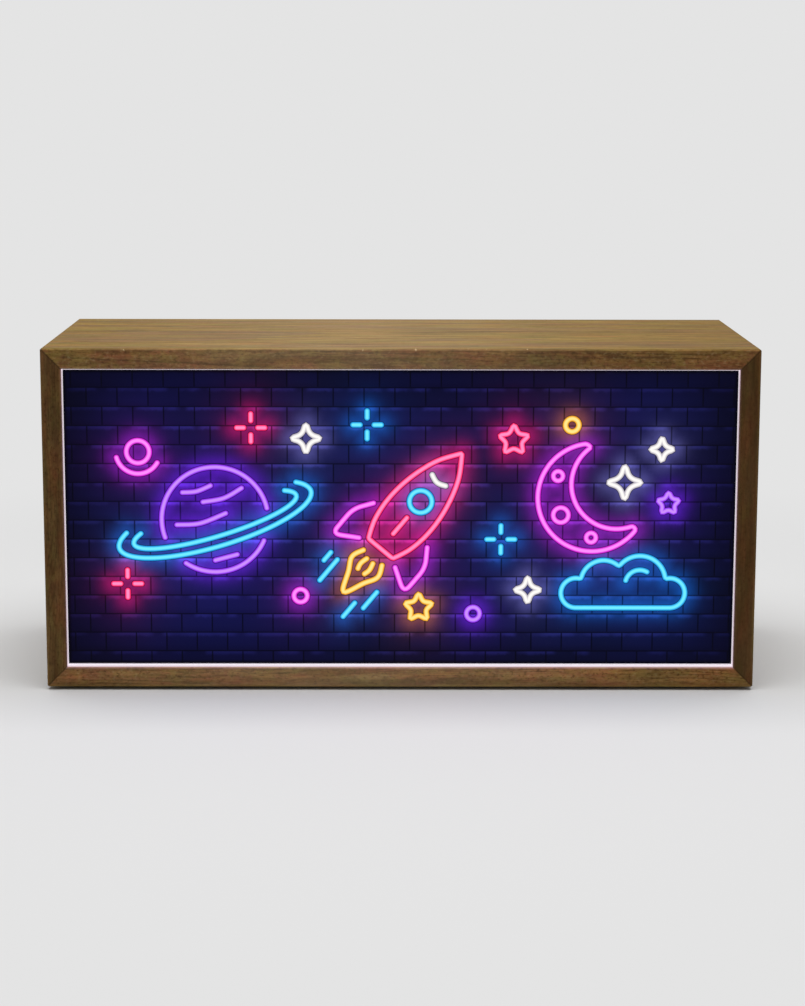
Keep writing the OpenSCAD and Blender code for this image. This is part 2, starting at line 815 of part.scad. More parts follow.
module switch_rocker() {
    end = cavity_l / 2;
    rim = rocker_dip + end * tan(rocker_tilt);
    stub_span = cavity_w + 2 * pivot_l;
    color("#232325") on_rocker() difference() {
        union() {
            intersection() {
                along_x([
                    [rocker_dip, 0], [rim, end], [-rocker_end_drop, end],
                    [-rocker_mid_drop, rocker_flat], [-rocker_mid_drop, -rocker_flat],
                    [-rocker_end_drop, -end], [rim, -end]
                ], -rocker_w / 2, rocker_w / 2);
                bar_x(2 * rocker_r, rocker_w + 2 * spill);
            }
            bar_x(pivot_d, stub_span);
            bar_y(guide_d, -guide_end, -rocker_mid_drop / 2);
        }
        bar_y(guide_bore_d, -guide_end - spill, guide_bore_up);
    }
}

module switch_plunger() {
    shoulder = plunger_taper - plunger_reach;
    color("#d8d8d4") on_rocker() {
        bar_y(plunger_d, shoulder, -plunger_top);
        translate([0, -plunger_reach, 0]) rotate([-90, 0, 0])
            cylinder(h = plunger_taper, d1 = plunger_tip_d, d2 = plunger_d);
    }
}

module switch_spring() {
    coil_r = guide_bore_d / 2 - spring_play - spring_wire / 2;
    low = -plunger_top + spring_wire / 2;
    rise = guide_bore_up - spring_wire / 2 - low;
    steps = spring_turns * turn_steps;
    path = [
        for (i = [0 : steps])
            let (a = 360 * i / turn_steps) [coil_r * cos(a), low + rise * i / steps, coil_r * sin(a)]
    ];
    color("#b9bcc0") on_rocker() tube(path, spring_wire / 2, spring_sides);
}

// The blade rocks on a round bead in the common terminal's saddle, and meets the load terminal in ON
module switch_contact() {
    color("#c98a4b") translate(switch_at + [0, blade_y, 0]) rotate([-blade_tilt, 0, 0]) {
        block([-blade_w / 2, 0, -blade_half], [blade_w / 2, blade_t, blade_half]);
        intersection() {
            bar_x(bead_d, blade_w);
            block([-blade_w / 2, -bead_d, -bead_d], [blade_w / 2, blade_t / 2, bead_d]);
        }
    }
}

module switch_terminal_common() {
    half = terminal_t / 2;
    color("#d9c27a") translate(switch_at) difference() {
        union() {
            block([-terminal_w / 2, terminal_end, -half], [terminal_w / 2, saddle_y, half]);
            block(
                [-terminal_w / 2, saddle_y - saddle_h, -saddle_w / 2],
                [terminal_w / 2, saddle_y, saddle_w / 2]
            );
        }
        translate([0, blade_y, 0]) bar_x(bead_d + 2 * contact_gap, terminal_w + 2 * spill);
    }
}

module switch_terminal_load() {
    half = terminal_t / 2;
    color("#d9c27a") translate(switch_at) block(
        [-terminal_w / 2, terminal_end, -load_off - half],
        [terminal_w / 2, load_y, half - load_off]
    );
}

// Low-voltage inlet: its own origin is in the outside face of the plate

module inlet_body() {
    slot = leaf_w / 2 + leaf_play;
    slot_in = sqrt(pow(socket_d / 2, 2) - pow(slot, 2));
    color("#1a1a1c") translate(inlet_at) difference() {
        union() {
            bar_y(flange_d, 0, flange_h - flange_bevel);
            translate([0, flange_h - flange_bevel, 0]) rotate([-90, 0, 0])
                cylinder(h = flange_bevel, d1 = flange_d, d2 = flange_d - 2 * flange_bevel);
            bar_y(bushing_d, -bushing_l, flange_h / 2);
        }
        bar_y(socket_d, -socket_l, flange_h + spill);
        bar_y(pin_tail_d + 2 * pin_tail_play, -bushing_l - spill, 0);
        block(
            [slot_in, -bushing_l - spill, -slot],
            [leaf_x + leaf_t + leaf_play, -leaf_t, slot]
        );
    }
}

module inlet_pin() {
    tip = flange_h - pin_inset;
    color("#d0c9b0") translate(inlet_at) {
        bar_y(pin_d, -socket_l, tip);
        bar_y(pin_tail_d, -bushing_l - tab_t, -socket_l / 2);
        block([-tab_w / 2, -bushing_l - tab_l, -tab_t / 2], [tab_w / 2, -bushing_l, tab_t / 2]);
    }
}

module inlet_sleeve_contact() {
    color("#d0c9b0") translate(inlet_at) block(
        [leaf_x, -bushing_l - tab_l, -leaf_w / 2],
        [leaf_x + leaf_t, -2 * leaf_t, leaf_w / 2]
    );
}

module inlet_nut() {
    seat = -plate_t;
    color("#c0c2c4") translate(inlet_at) difference() {
        translate([0, seat - nut_t, 0]) rotate([-90, 0, 0])
            cylinder(h = nut_t, d = nut_flats / cos(30), $fn = 6);
        bar_y(bushing_d + 2 * bushing_play, seat - nut_t - spill, seat + spill);
    }
}

// Feet

module foot(sx, sy) {
    color("#2b2b2b")
        translate([sx * (box_w / 2 - foot_inset), sy * (box_d / 2 - foot_inset), 0])
            cylinder(h = foot_h, d1 = foot_base_d, d2 = foot_d);
}

top_board();
bottom_board();
side_board(-1);  // left_board
side_board(1);  // right_board
for (i = [0 : 3]) corner_block(quarters[i].x, quarters[i].y);
middle_block(1);  // mid_block_top
middle_block(-1);  // mid_block_bottom
diffuser_sheet();
print_film();
back_panel();
back_screws();
control_plate();
plate_screws();
for (i = [1 : strip_rows]) led_strip(i - 1);
for (i = [1 : strip_rows]) led_row(i - 1);
strip_resistors();
jumper_wires(false);  // jumper_wires_red
jumper_wires(true);  // jumper_wires_black
lead(feed_route, "#b3201c");  // feed_wire
lead(switched_route, "#b3201c");  // switched_wire
lead(return_route, "#1c1c1c");  // return_wire
wire_clips();
switch_housing();
switch_rocker();
switch_plunger();
switch_spring();
switch_contact();
switch_terminal_common();
switch_terminal_load();
inlet_body();
inlet_pin();
inlet_sleeve_contact();
inlet_nut();
for (i = [0 : 3]) foot(quarters[i].x, quarters[i].y);
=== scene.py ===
# %% [markdown]
# # A wooden light box sign
# The real object is a box of four mitred walnut boards. A sheet of opal acrylic sits in a groove
# near the front, a printed film lies on it, and LED strips on the back panel light it from behind.
# The solids come from the CAD model and stay as they are. This lesson adds what the solids lack:
# the grain of the wood, the print on the film, and the finish of every small part.

import json
import math
from collections import namedtuple

import bpy
import numpy as np
from mathutils import Matrix, Quaternion, Vector


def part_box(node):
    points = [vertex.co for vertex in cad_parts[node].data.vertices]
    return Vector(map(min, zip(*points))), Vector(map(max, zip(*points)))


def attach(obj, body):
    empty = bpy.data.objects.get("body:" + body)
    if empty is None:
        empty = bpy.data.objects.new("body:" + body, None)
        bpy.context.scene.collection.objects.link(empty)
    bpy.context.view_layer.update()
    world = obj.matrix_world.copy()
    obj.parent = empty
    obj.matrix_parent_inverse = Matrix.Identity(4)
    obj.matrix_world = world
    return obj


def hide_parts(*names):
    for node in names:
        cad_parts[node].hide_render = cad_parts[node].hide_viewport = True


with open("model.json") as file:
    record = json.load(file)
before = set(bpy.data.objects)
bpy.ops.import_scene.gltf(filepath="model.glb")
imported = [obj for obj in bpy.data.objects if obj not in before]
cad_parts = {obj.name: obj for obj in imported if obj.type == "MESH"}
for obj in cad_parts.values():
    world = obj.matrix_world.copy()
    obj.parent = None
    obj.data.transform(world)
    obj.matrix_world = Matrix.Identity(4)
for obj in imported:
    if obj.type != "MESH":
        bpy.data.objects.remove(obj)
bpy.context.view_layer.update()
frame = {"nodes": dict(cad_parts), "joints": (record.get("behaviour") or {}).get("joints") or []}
nodes = frame["nodes"]

# %% Units and colours
MM = 0.001
BLACK = "#000000"
WHITE = "#FFFFFF"


def shade(colour):
    """A colour code as screens use it, in the linear values of nodes. Other colours stay as given."""
    if not isinstance(colour, str):
        return colour
    levels = [int(colour[i : i + 2], 16) / 255 for i in (1, 3, 5)]
    linear = [v / 12.92 if v <= 0.04045 else ((v + 0.055) / 1.055) ** 2.4 for v in levels]
    return (*linear, 1.0)


print("A mid brown in linear values:", [round(v, 3) for v in shade("#8E7345")])

# %% [markdown]
# ## One class for every node tree
# A material is a small program of linked nodes. Written out link by link it is hard to read, so one
# class stands for the output of a node. Sums and products of such outputs add Math nodes, and the
# method `node` adds any other node. Geometry trees are built with the same class.

# %% The class that stands for a node's output
class Flow:
    """The output of a node. Arithmetic on it adds Math nodes to the same tree."""

    def __init__(self, tree, socket=None):
        self.tree = tree
        self.socket = socket

    def node(self, kind, settings=None, inputs=None, output=None):
        """Adds a node, with its settings first and then the values or links of its sockets."""
        made = self.tree.nodes.new(kind)
        for name, value in (settings or {}).items():
            setattr(made, name, value)
        for name, value in (inputs or {}).items():
            socket = self.find(made.inputs, name)
            for one in value if isinstance(value, list) else [value]:
                if isinstance(one, Flow):
                    self.tree.links.new(one.socket, socket)
                else:
                    socket.default_value = one
        return Flow(self.tree, self.find(made.outputs, output)) if made.outputs else None

    def find(self, sockets, name):
        """The first socket in use that has this name or identifier, or the first one in use."""
        for socket in sockets:
            if socket.enabled and name in (None, socket.name, socket.identifier):
                return socket
        raise KeyError(name)

    def math(self, operation, *values):
        inputs = dict(zip(("Value", "Value_001", "Value_002"), values))
        return self.node("ShaderNodeMath", {"operation": operation}, inputs)

    def __add__(self, other):
        return self.math("ADD", self, other)

    def __radd__(self, other):
        return self.math("ADD", other, self)

    def __sub__(self, other):
        return self.math("SUBTRACT", self, other)

    def __rsub__(self, other):
        return self.math("SUBTRACT", other, self)

    def __mul__(self, other):
        return self.math("MULTIPLY", self, other)

    def __rmul__(self, other):
        return self.math("MULTIPLY", other, self)

    def __truediv__(self, other):
        return self.math("DIVIDE", self, other)

    def __mod__(self, other):
        """The remainder, which stays positive below zero too."""
        return self.math("FLOORED_MODULO", self, other)

    def __abs__(self):
        return self.math("ABSOLUTE", self)

    def least(self, other):
        return self.math("MINIMUM", self, other)

    def most(self, other):
        return self.math("MAXIMUM", self, other)

    def bell(self):
        """1 where this is 0, falling smoothly to 0 on both sides."""
        return self.math("EXPONENT", -1 * self * self)

    def rise(self, low, high):
        """0 below low, 1 above high, and a smooth step between them."""
        inputs = {"Value": self, "From Min": low, "From Max": high}
        return self.node("ShaderNodeMapRange", {"interpolation_type": "SMOOTHSTEP"}, inputs)

    def vector(self, x, y, z=0.0):
        return self.node("ShaderNodeCombineXYZ", None, {"X": x, "Y": y, "Z": z})

    def parts(self):
        """The x, y and z of a vector."""
        split = self.node("ShaderNodeSeparateXYZ", None, {"Vector": self})
        return [Flow(self.tree, socket) for socket in split.socket.node.outputs]

    def scaled(self, amount):
        """A vector or a colour, times an amount."""
        return self.node("ShaderNodeVectorMath", {"operation": "SCALE"}, {"Vector": self, "Scale": amount})

    def times(self, other):
        """A colour multiplied by another, part by part."""
        inputs = {"Vector": self, "Vector_001": other}
        return self.node("ShaderNodeVectorMath", {"operation": "MULTIPLY"}, inputs)

    def length(self):
        return self.node("ShaderNodeVectorMath", {"operation": "LENGTH"}, {"Vector": self}, "Value")

    def noise(self, size=1.0, detail=2.0, roughness=0.5):
        """Smooth noise from 0 to 1 at this place, with spots of about this size."""
        inputs = {"Vector": self, "Scale": 1 / size, "Detail": detail, "Roughness": roughness}
        return self.node("ShaderNodeTexNoise", None, inputs)

    def colour(self, code):
        """The same colour everywhere."""
        made = self.node("ShaderNodeRGB")
        made.socket.default_value = shade(code)
        return made

    def mix(self, other, amount):
        """This colour, turned into another one by an amount from 0 to 1."""
        inputs = {"Factor": amount, "A": self, "B": shade(other)}
        return self.node("ShaderNodeMix", {"data_type": "RGBA"}, inputs)

    def bump(self, strength, depth):
        """A normal bent by this height. Depth is the height's unit, in metres."""
        inputs = {"Height": self, "Strength": strength, "Distance": depth}
        return self.node("ShaderNodeBump", None, inputs)


print("Flow has", len([name for name in vars(Flow) if callable(getattr(Flow, name))]), "methods")

# %% Helpers for materials and pieces
dressed = set()


def new_material(name):
    """A material, and the place on the object in millimetres to start its nodes from."""
    made = bpy.data.materials.new(name)
    made.use_nodes = True
    place = Flow(made.node_tree).node("ShaderNodeTexCoord", output="Object")
    return made, place.scaled(1 / MM)


def set_surface(made, inputs):
    """Sets fixed values on the shader's own sockets, and links the ones that vary."""
    shader = made.node_tree.nodes["Principled BSDF"]
    for name, value in inputs.items():
        if isinstance(value, Flow):
            made.node_tree.links.new(value.socket, shader.inputs[name])
        else:
            shader.inputs[name].default_value = value


def dress(made, *names):
    """Puts a material on solids of the frame."""
    for name in names:
        slots = nodes[name].data.materials
        if not slots:
            slots.append(made)
        for i in range(len(slots)):
            slots[i] = made
        dressed.add(name)


def bounds_mm(name):
    """The lowest and highest corner of a solid, in millimetres."""
    return [[value / MM for value in corner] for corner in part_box(name)]


def add_object(name, data):
    """An object for a mesh, a lamp or a camera, in the scene."""
    made = bpy.data.objects.new(name, data)
    bpy.context.scene.collection.objects.link(made)
    return made


def add_piece(mesh, body):
    """An object for a mesh that already lies in its place, riding on a body."""
    piece = add_object(mesh.name, mesh)
    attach(piece, body)
    return piece


print("Helpers are ready for", len(nodes), "solids")

# %% [markdown]
# ## Walnut boards
# On a real board the figure is a cut through the rings of a tree: curved bands on the wide face, and
# finer lines on the edges. A flat wood picture would break at every corner, so the pattern here is a
# solid one. It measures the distance from the heart of a tree that lies beside the board and runs
# with its grain, and noise that is stretched along the grain bends the rings. The colour is built as
# a painter does it, in layers: each layer is a tone and a mask that says where it goes. Soft clouds
# of light, dark, red and green go over them at the end. The same distances find the mitre joints, the
# worn edges, the white paint inside the box and the light that falls on it.

# %% Sizes that the boards' materials need
top_low, top_high = bounds_mm("top_board")
film_low, film_high = bounds_mm("print_film")
FRONT = top_low[1]
REAR = top_high[1]
BOARD = top_high[2] - bounds_mm("mid_block_top")[1][2]
FILM_FRONT = film_low[1]
BOARDS = {
    "top_board": ("x", "z", 1),
    "bottom_board": ("x", "z", -1),
    "left_board": ("z", "x", -1),
    "right_board": ("z", "x", 1),
}
print("Boards are", round(BOARD, 2), "mm thick, front edge at y", FRONT, "and film at y", FILM_FRONT)

# %% Where a point lies in a board
# Each kind of noise has the length and width of its spots in millimetres, its detail, and a shift
# along the grain that keeps it apart from the others.
GRAIN = {
    "wander": (150, 34, 2.0, 0.0),
    "ripple": (38, 7, 2.0, 0.0),
    "patch": (70, 8, 1.0, 5.0),
    "fibre": (20, 0.75, 3.0, 0.0),
    "pore": (6, 0.26, 1.0, 0.0),
    "fleck": (2.6, 1.5, 2.0, 11.0),
    "cloud": (7, 4, 2.0, 15.0),
    "red": (70, 12, 3.0, 21.0),
    "red_spot": (4.5, 3, 1.0, 33.0),
    "green": (55, 10, 3.0, 27.0),
    "green_spot": (5, 3.6, 1.0, 39.0),
    "chip": (3.4, 5, 1.0, 51.0),
    "blush": (34, 7, 3.0, 63.0),
    "moss": (30, 7, 3.0, 71.0),
    "dusk": (70, 5, 2.0, 83.0),
}
GRAIN_ROUGHNESS = 0.55
WIDE_FACE_SPOTS = 0.22
# A fade is a pair of distances in millimetres: where it starts and where it ends.
EDGE_FADE = (0.2, 0.9)
SEAM_FADE = (0.1, 0.5)


class Board:
    """The material of one board, with distances in the board and the noise of its grain."""

    def __init__(self, name, seed):
        grain_axis, thick_axis, side = BOARDS[name]
        low, high = bounds_mm(name)
        run = "xyz".index(grain_axis)
        thick = "xyz".index(thick_axis)
        outside = high[thick] if side > 0 else low[thick]
        self.material, self.place = new_material("walnut_" + name)
        spot = self.place.parts()
        self.along = spot[run] - (low[run] + high[run]) / 2
        self.depth = spot[1]
        self.behind = self.depth - FRONT
        self.from_edge = self.behind.least(REAR - self.depth)
        self.inward = (outside - spot[thick]) * side
        self.noise = {kind: self.grain(seed, *sizes) for kind, sizes in GRAIN.items()}
        self.patchy = self.noise["patch"].rise(0.3, 0.66)
        self.pores = self.noise["pore"].rise(0.6, 0.7)
        self.edge = 1 - self.from_edge.rise(*EDGE_FADE)
        self.spotty = WIDE_FACE_SPOTS + (1 - WIDE_FACE_SPOTS) * self.edge
        to_mitre = (high[run] - low[run]) / 2 - abs(self.along) - self.inward
        self.seam = 1 - to_mitre.rise(*SEAM_FADE)

    def grain(self, seed, length, width, detail, shift):
        """Noise stretched along the grain, with spots of that length and width."""
        start = self.along / length + (seed + shift)
        where = self.place.vector(start, self.depth / width, self.inward / width)
        return where.noise(detail=detail, roughness=GRAIN_ROUGHNESS)


print("Boards have", len(GRAIN), "kinds of noise")

# %% The rings of the tree
BROAD_RING = 15
FINE_RING = 1.9
RING_SLANT = 0.025
RING_WANDER = 26
RING_RIPPLE = 3.5
SWIRL_DEPTH = 10
Swirl = namedtuple("Swirl", "where level length width push dark")


def late_wood(ring, spacing, start):
    """Rings that darken from a start, and end sharply."""
    share = (ring / spacing) % 1
    return share.rise(start, 0.91) * (1 - share.rise(0.92, 1.0))


def figure(board, heart, swirls):
    """Broad bands, fine lines, and layers for the dark eyes of the swirls that bend them."""
    across = board.depth - heart[0]
    deep = heart[1] - board.inward
    ring = board.place.vector(across, deep).length() + RING_SLANT * board.along
    ring = ring + RING_WANDER * board.noise["wander"] + RING_RIPPLE * board.noise["ripple"]
    eyes = []
    for swirl in swirls:
        sideways = (board.along - swirl.where) / swirl.length
        upward = (board.inward - swirl.level) / swirl.width
        reach = board.place.vector(sideways, upward, board.behind / SWIRL_DEPTH).length()
        ring = ring + swirl.push * reach.bell()
        if swirl.dark:
            eyes.append(("pore", swirl.dark * (2 * reach).bell()))
    return late_wood(ring, BROAD_RING, 0.25), late_wood(ring, FINE_RING, 0.4), eyes


print("Rings repeat every", BROAD_RING, "and", FINE_RING, "mm")

# %% The layers of colour
EDGE_RED = 0.42
SPOT_SHARE = 0.7
STREAK_WANDER = 20
STREAK_WIDTH = 4.2
VEIN_WANDER = 2.2
VEIN_WIDTH = 0.5
Vein = namedtuple("Vein", "begin end first last")


def patches(board, kind, low, high):
    """Long patches of a tint, broken up by small spots."""
    spots = SPOT_SHARE * board.spotty * (board.noise[kind + "_spot"] - 0.5)
    return (board.noise[kind] + spots).rise(low, high)


def tint_layers(board, bands, ruddy):
    """Bands of late wood, with reddish and greenish patches. Front and rear edges are redder."""
    red = patches(board, "red", 0.42, 0.62)
    return [
        ("mid", 0.8 * bands),
        ("red", ruddy + (EDGE_RED - ruddy) * board.edge + (0.2 + 0.12 * board.edge) * red),
        ("green", 0.32 * patches(board, "green", 0.43, 0.64)),
    ]


def streak_layers(board, streak, veins):
    """A dark streak along the wide face, and thin veins on the front and rear edges."""
    layers = []
    if streak is not None:
        drift = board.depth - streak - STREAK_WANDER * (board.noise["wander"] - 0.5)
        layers.append(("dark", 0.6 * (drift / STREAK_WIDTH).bell() * (0.25 + 0.75 * board.patchy)))
    for vein in veins:
        share = (board.along - vein.begin) / (vein.end - vein.begin)
        level = vein.first + (vein.last - vein.first) * share
        level = level + VEIN_WANDER * (board.noise["ripple"] - 0.5)
        ends = share.rise(-0.03, 0.06) * (1 - share.rise(0.7, 1.02))
        line = ((board.inward - level) / VEIN_WIDTH).bell()
        layers.append(("pore", 0.6 * board.edge * ends * line))
    return layers


print("A vein has", len(Vein._fields), "values and a swirl has", len(Swirl._fields))

# %% Fibres and worn edges
FOOT_FADE = (0.5, 7.5)
WEAR_FADE = (0.9, 1.5)
CHIP_FADE = (2, 4)


def fibre_layers(board, lines):
    """Fine rings, fibres, clouds, flecks and pores. Clouds and flecks are strongest on the edges."""
    fibre, cloud, fleck = (board.noise[kind] for kind in ("fibre", "cloud", "fleck"))
    return [
        ("dark", lines * board.patchy * (0.32 + 0.23 * board.edge)),
        ("dark", 0.65 * fibre.rise(0.5, 0.76)),
        ("glint", 0.4 * (1 - fibre.rise(0.26, 0.48))),
        ("dark", 0.3 * board.spotty * cloud.rise(0.5, 0.68)),
        ("glint", 0.42 * board.spotty * (1 - cloud.rise(0.32, 0.5))),
        ("dark", 0.66 * board.spotty * fleck.rise(0.53, 0.68)),
        ("mote", 0.4 * board.edge * (1 - fleck.rise(0.31, 0.47))),
        ("pore", 0.5 * board.pores),
    ]


def edge_layers(board, dark_edge=0.0, dark_foot=0.0, chipped=False):
    """Shade on the edges, wear along the arrises, chips, and the line of the mitre joint."""
    shaded = dark_edge + dark_foot * (1 - board.inward.rise(*FOOT_FADE))
    worn = 1 - (board.from_edge + board.inward).rise(*WEAR_FADE)
    layers = [("dark", shaded * board.edge), ("pale", 0.25 * worn)]
    if chipped:
        chips = board.noise["chip"].rise(0.7, 0.73) * (1 - board.behind.rise(*CHIP_FADE))
        layers.append(("chip", 0.8 * worn * chips))
    return layers + [("pore", 0.5 * board.seam)]


print("Arrises are worn over", WEAR_FADE[1], "mm")

# %% Painted sheen and clouds
# Dawn and dusk are factors, so they may pass 1. So may the casts, which tint the clouds.
# The sheen is a painted highlight, paler and greyer in the middle of a long board. Its right end gets
# painted shade.
SHEEN_MIDDLE = -30
SHEEN_REACH = 120
EDGE_SHEEN = 0.4
SHADY_END = (90, 210)
WIDE_FACE_CLOUDS = 0.344
DAWN = (1.17, 1.17, 1.17, 1.0)
DUSK = (0.83, 0.83, 0.83, 1.0)
CASTS = {"blush": (1.3, 0.9, 0.86), "moss": (0.84, 1.06, 0.8)}


def painted_sheen_layers(board, amount):
    """A painted sheen in the middle of a long board, and painted shade darkening its right end."""
    if not amount:
        return []
    middle = ((board.along - SHEEN_MIDDLE) / SHEEN_REACH).bell()
    blend_amount = amount * (1 + EDGE_SHEEN * board.edge) * middle
    return [("sheen", blend_amount), ("dark", amount * board.along.rise(*SHADY_END))]


def clouds(board, amount):
    """Light, dark, reddish and greenish clouds, as a colour that the wood is multiplied by."""
    tint = WIDE_FACE_CLOUDS + (amount - WIDE_FACE_CLOUDS) * board.edge
    cloud = board.place.colour(DAWN).mix(DUSK, board.noise["dusk"].rise(0.34, 0.66))
    for kind, cast in CASTS.items():
        cloud = cloud.mix(cloud.times(cast), tint * board.noise[kind].rise(0.38, 0.68))
    return cloud


print("Clouds have", len(CASTS), "casts")

# %% Paint and light inside the box
LINING = "#DEDADC"
REVEAL_NEAR = "#C4BCC6"
REVEAL_FAR = "#8A6570"
SPILL = "#FFD1D8"
SPILL_REACH = 1.3


def lining_and_light(board, spilled):
    """Where the inside is painted white, and the light on it in front of the film and round its edge."""
    lining = board.inward.rise(BOARD - 0.12, BOARD - 0.04) * board.behind.rise(0.45, 0.8)
    reveal = lining * (1 - board.depth.rise(FILM_FRONT + 0.2, FILM_FRONT + 0.4))
    nearer = board.depth.rise(FRONT + 0.5, FILM_FRONT - 1.0)
    lit = board.place.colour(REVEAL_FAR).mix(REVEAL_NEAR, nearer)
    spill = spilled * board.edge * board.inward.rise(BOARD - SPILL_REACH, BOARD)
    return lining, board.place.colour(BLACK).mix(SPILL, spill).mix(lit, reveal)


print("Light falls on the inside over", round(FILM_FRONT - FRONT, 2), "mm in front of the film")

# %% The walnut material
def walnut(
    name,
    tones,
    heart,
    seed,
    cloudy,
    swirls=(),
    streak=None,
    veins=(),
    ruddy=0.0,
    painted_sheen=0.0,
    spilled=0.03,
    **edges,
):
    """The material of one board. Heart is where the tree's middle lies, in depth and inwards."""
    board = Board(name, seed)
    bands, lines, eyes = figure(board, heart, swirls)
    layers = tint_layers(board, bands, ruddy) + streak_layers(board, streak, veins)
    layers += fibre_layers(board, lines) + eyes + edge_layers(board, **edges)
    # A painted sheen in the middle and painted shade at the right end go on last.
    layers += painted_sheen_layers(board, painted_sheen)
    wood = board.place.colour(tones["pale"])
    for tone, amount in layers:
        wood = wood.mix(tones[tone], amount)
    wood = wood.times(clouds(board, cloudy))
    lining, light = lining_and_light(board, spilled)
    fibre = board.noise["fibre"]
    relief = 0.5 * fibre - board.pores - 2 * board.seam * (1 - lining)
    set_surface(
        board.material,
        {
            "Base Color": wood.mix(LINING, lining),
            "Roughness": 0.55 + 0.2 * fibre - 0.1 * bands + 0.1 * board.pores,
            "Normal": relief.bump(0.35, 0.06 * MM),
            "Emission Color": light,
            "Emission Strength": 1.0,
            "Specular IOR Level": 0.05,
        },
    )
    dress(board.material, name)
    print(name, "has", len(layers), "layers of colour")


print("Walnut is ready for", len(BOARDS), "boards")

# %% The tones of the boards
WARM = {
    "pale": "#886F38",
    "mid": "#6F522A",
    "dark": "#4C331A",
    "red": "#8A543B",
    "green": "#72642D",
    "glint": "#967C40",
    "mote": "#A08A63",
    "pore": "#35240F",
    "chip": "#CDB78C",
    # The sheen tone is a painted highlight, laid over the middle of the long boards.
    "sheen": "#BCA68C",
}
# The bottom board's tones are paler than the warm set: painted bounce light on its front edge.
BRIGHT = {**WARM, "pale": "#9D8244", "mid": "#836236", "red": "#9E6447"}
DEEP = {
    "pale": "#836A3F",
    "mid": "#694D2B",
    "dark": "#46301A",
    "red": "#704C33",
    "green": "#695C32",
    "glint": "#8D7345",
    "mote": "#7A6142",
    "pore": "#2A1C0C",
}
print("The top has", len(WARM), "tones and the sides have", len(DEEP))

# %% The four boards
TOP_SWIRLS = (
    Swirl(107, 5.5, 7, 3.4, push=4.5, dark=0.4),
    Swirl(94, 7, 52, 24, push=2.0, dark=0.34),
    Swirl(152, 7, 40, 3.6, push=5.5, dark=0.0),
    Swirl(-150, 4, 55, 3.2, push=4.0, dark=0.0),
)
BOTTOM_SWIRLS = (Swirl(40, 6, 60, 3.4, push=4.5, dark=0.0),)
TOP_VEINS = (
    Vein(-199, -55, 5.2, 11.5),
    Vein(-60, 40, 1.2, 3.4),
    Vein(112, 205, 2.2, 3.6),
    Vein(120, 190, 4.6, 5.8),
)
walnut(
    "top_board",
    WARM,
    heart=(-20, 120),
    seed=3.0,
    cloudy=0.43,
    swirls=TOP_SWIRLS,
    streak=8,
    veins=TOP_VEINS,
    painted_sheen=0.15,
    chipped=True,
)
walnut(
    "bottom_board",
    BRIGHT,
    heart=(30, 140),
    seed=17.0,
    cloudy=0.43,
    swirls=BOTTOM_SWIRLS,
    painted_sheen=0.15,
    spilled=0.19,
    dark_foot=0.5,
)
walnut("left_board", DEEP, heart=(-40, 110), seed=31.0, cloudy=0.66, ruddy=0.3, dark_edge=0.45)
walnut("right_board", DEEP, heart=(25, 130), seed=47.0, cloudy=0.66, ruddy=0.3, dark_edge=0.79)

# %% [markdown]
# ## Acrylic sheet
# Opal acrylic is white all through and scatters the light of the LEDs, so seen from the front it is
# an even, faintly cool white. It shows only as a thin bright line around the film. The soft spots
# behind it are too blurred to see, so a little emission with slow noise is enough.

# %% The acrylic sheet
acrylic, place = new_material("opal_acrylic")
cloudy = place.noise(60, detail=1.0)
set_surface(
    acrylic,
    {
        "Base Color": place.colour("#CFCBCE").mix("#DAD7D9", cloudy),
        "Roughness": 0.28 + 0.08 * cloudy,
        "Emission Color": place.colour("#6E6872").mix("#7C7680", cloudy),
        "Emission Strength": 1.0,
    },
)
dress(acrylic, "diffuser_sheet")
print("Acrylic sheet", [round(b - a, 2) for a, b in zip(*bounds_mm("diffuser_sheet"))], "mm")

# %% [markdown]
# ## What the film shows
# The film carries a picture of neon tubes on a dark brick wall. Here it is a night sky of plain
# signs: a ringed planet, a rocket, a crescent moon, a cloud and stars. Every tube is a line of
# points in the plane of the film, in millimetres from its middle. Tubes that would cross stop short
# of each other, as bent glass does: a new line is cut wherever it comes near an earlier one.

# %% Lines and curves
ARC_POINTS = 90
CURVE_POINTS = 16
CORNER_POINTS = 7
CORNER_SHARE = 0.45


def dense(points, closed=False):
    """Points about a millimetre apart along a line through these points."""
    given = np.array(points, float)
    if closed:
        given = np.vstack([given, given[:1]])
    lengths = np.hypot(*np.diff(given, axis=0).T)
    stations = np.concatenate([[0], np.cumsum(lengths)])
    count = max(2, int(round(stations[-1])) + 1)
    wanted = np.linspace(0, stations[-1], count)
    line = np.stack([np.interp(wanted, stations, given[:, i]) for i in (0, 1)], axis=1)
    return line[:-1] if closed else line


def arc(centre, radius, start, end, squeeze=1.0, turn=0.0):
    """An arc of a circle, or of an ellipse that is squeezed upright and then turned."""
    angles = np.radians(np.linspace(start, end, ARC_POINTS))
    line = np.stack([radius * np.cos(angles), radius * squeeze * np.sin(angles)], axis=1)
    return placed(line, centre, turn)


def placed(points, centre, turn=0.0):
    """Points turned anticlockwise and moved to a centre."""
    a = math.radians(turn)
    matrix = np.array([[math.cos(a), math.sin(a)], [-math.sin(a), math.cos(a)]])
    return np.array(points, float) @ matrix + np.array(centre, float)


def smooth(points, closed=False):
    """A smooth line through the points."""
    given = np.array(points, float)
    count = len(given)
    if closed:
        padded = given[np.arange(-1, count + 2) % count]
    else:
        padded = np.vstack([given[:1], given, given[-1:]])
    t = np.linspace(0, 1, CURVE_POINTS, endpoint=False)[:, None]
    line = []
    for i in range(len(padded) - 3):
        a, b, c, d = padded[i : i + 4]
        curve = 2 * b + (c - a) * t + (2 * a - 5 * b + 4 * c - d) * t**2 + (3 * b - a - 3 * c + d) * t**3
        line.append(curve / 2)
    return np.vstack(line if closed else line + [given[-1:]])


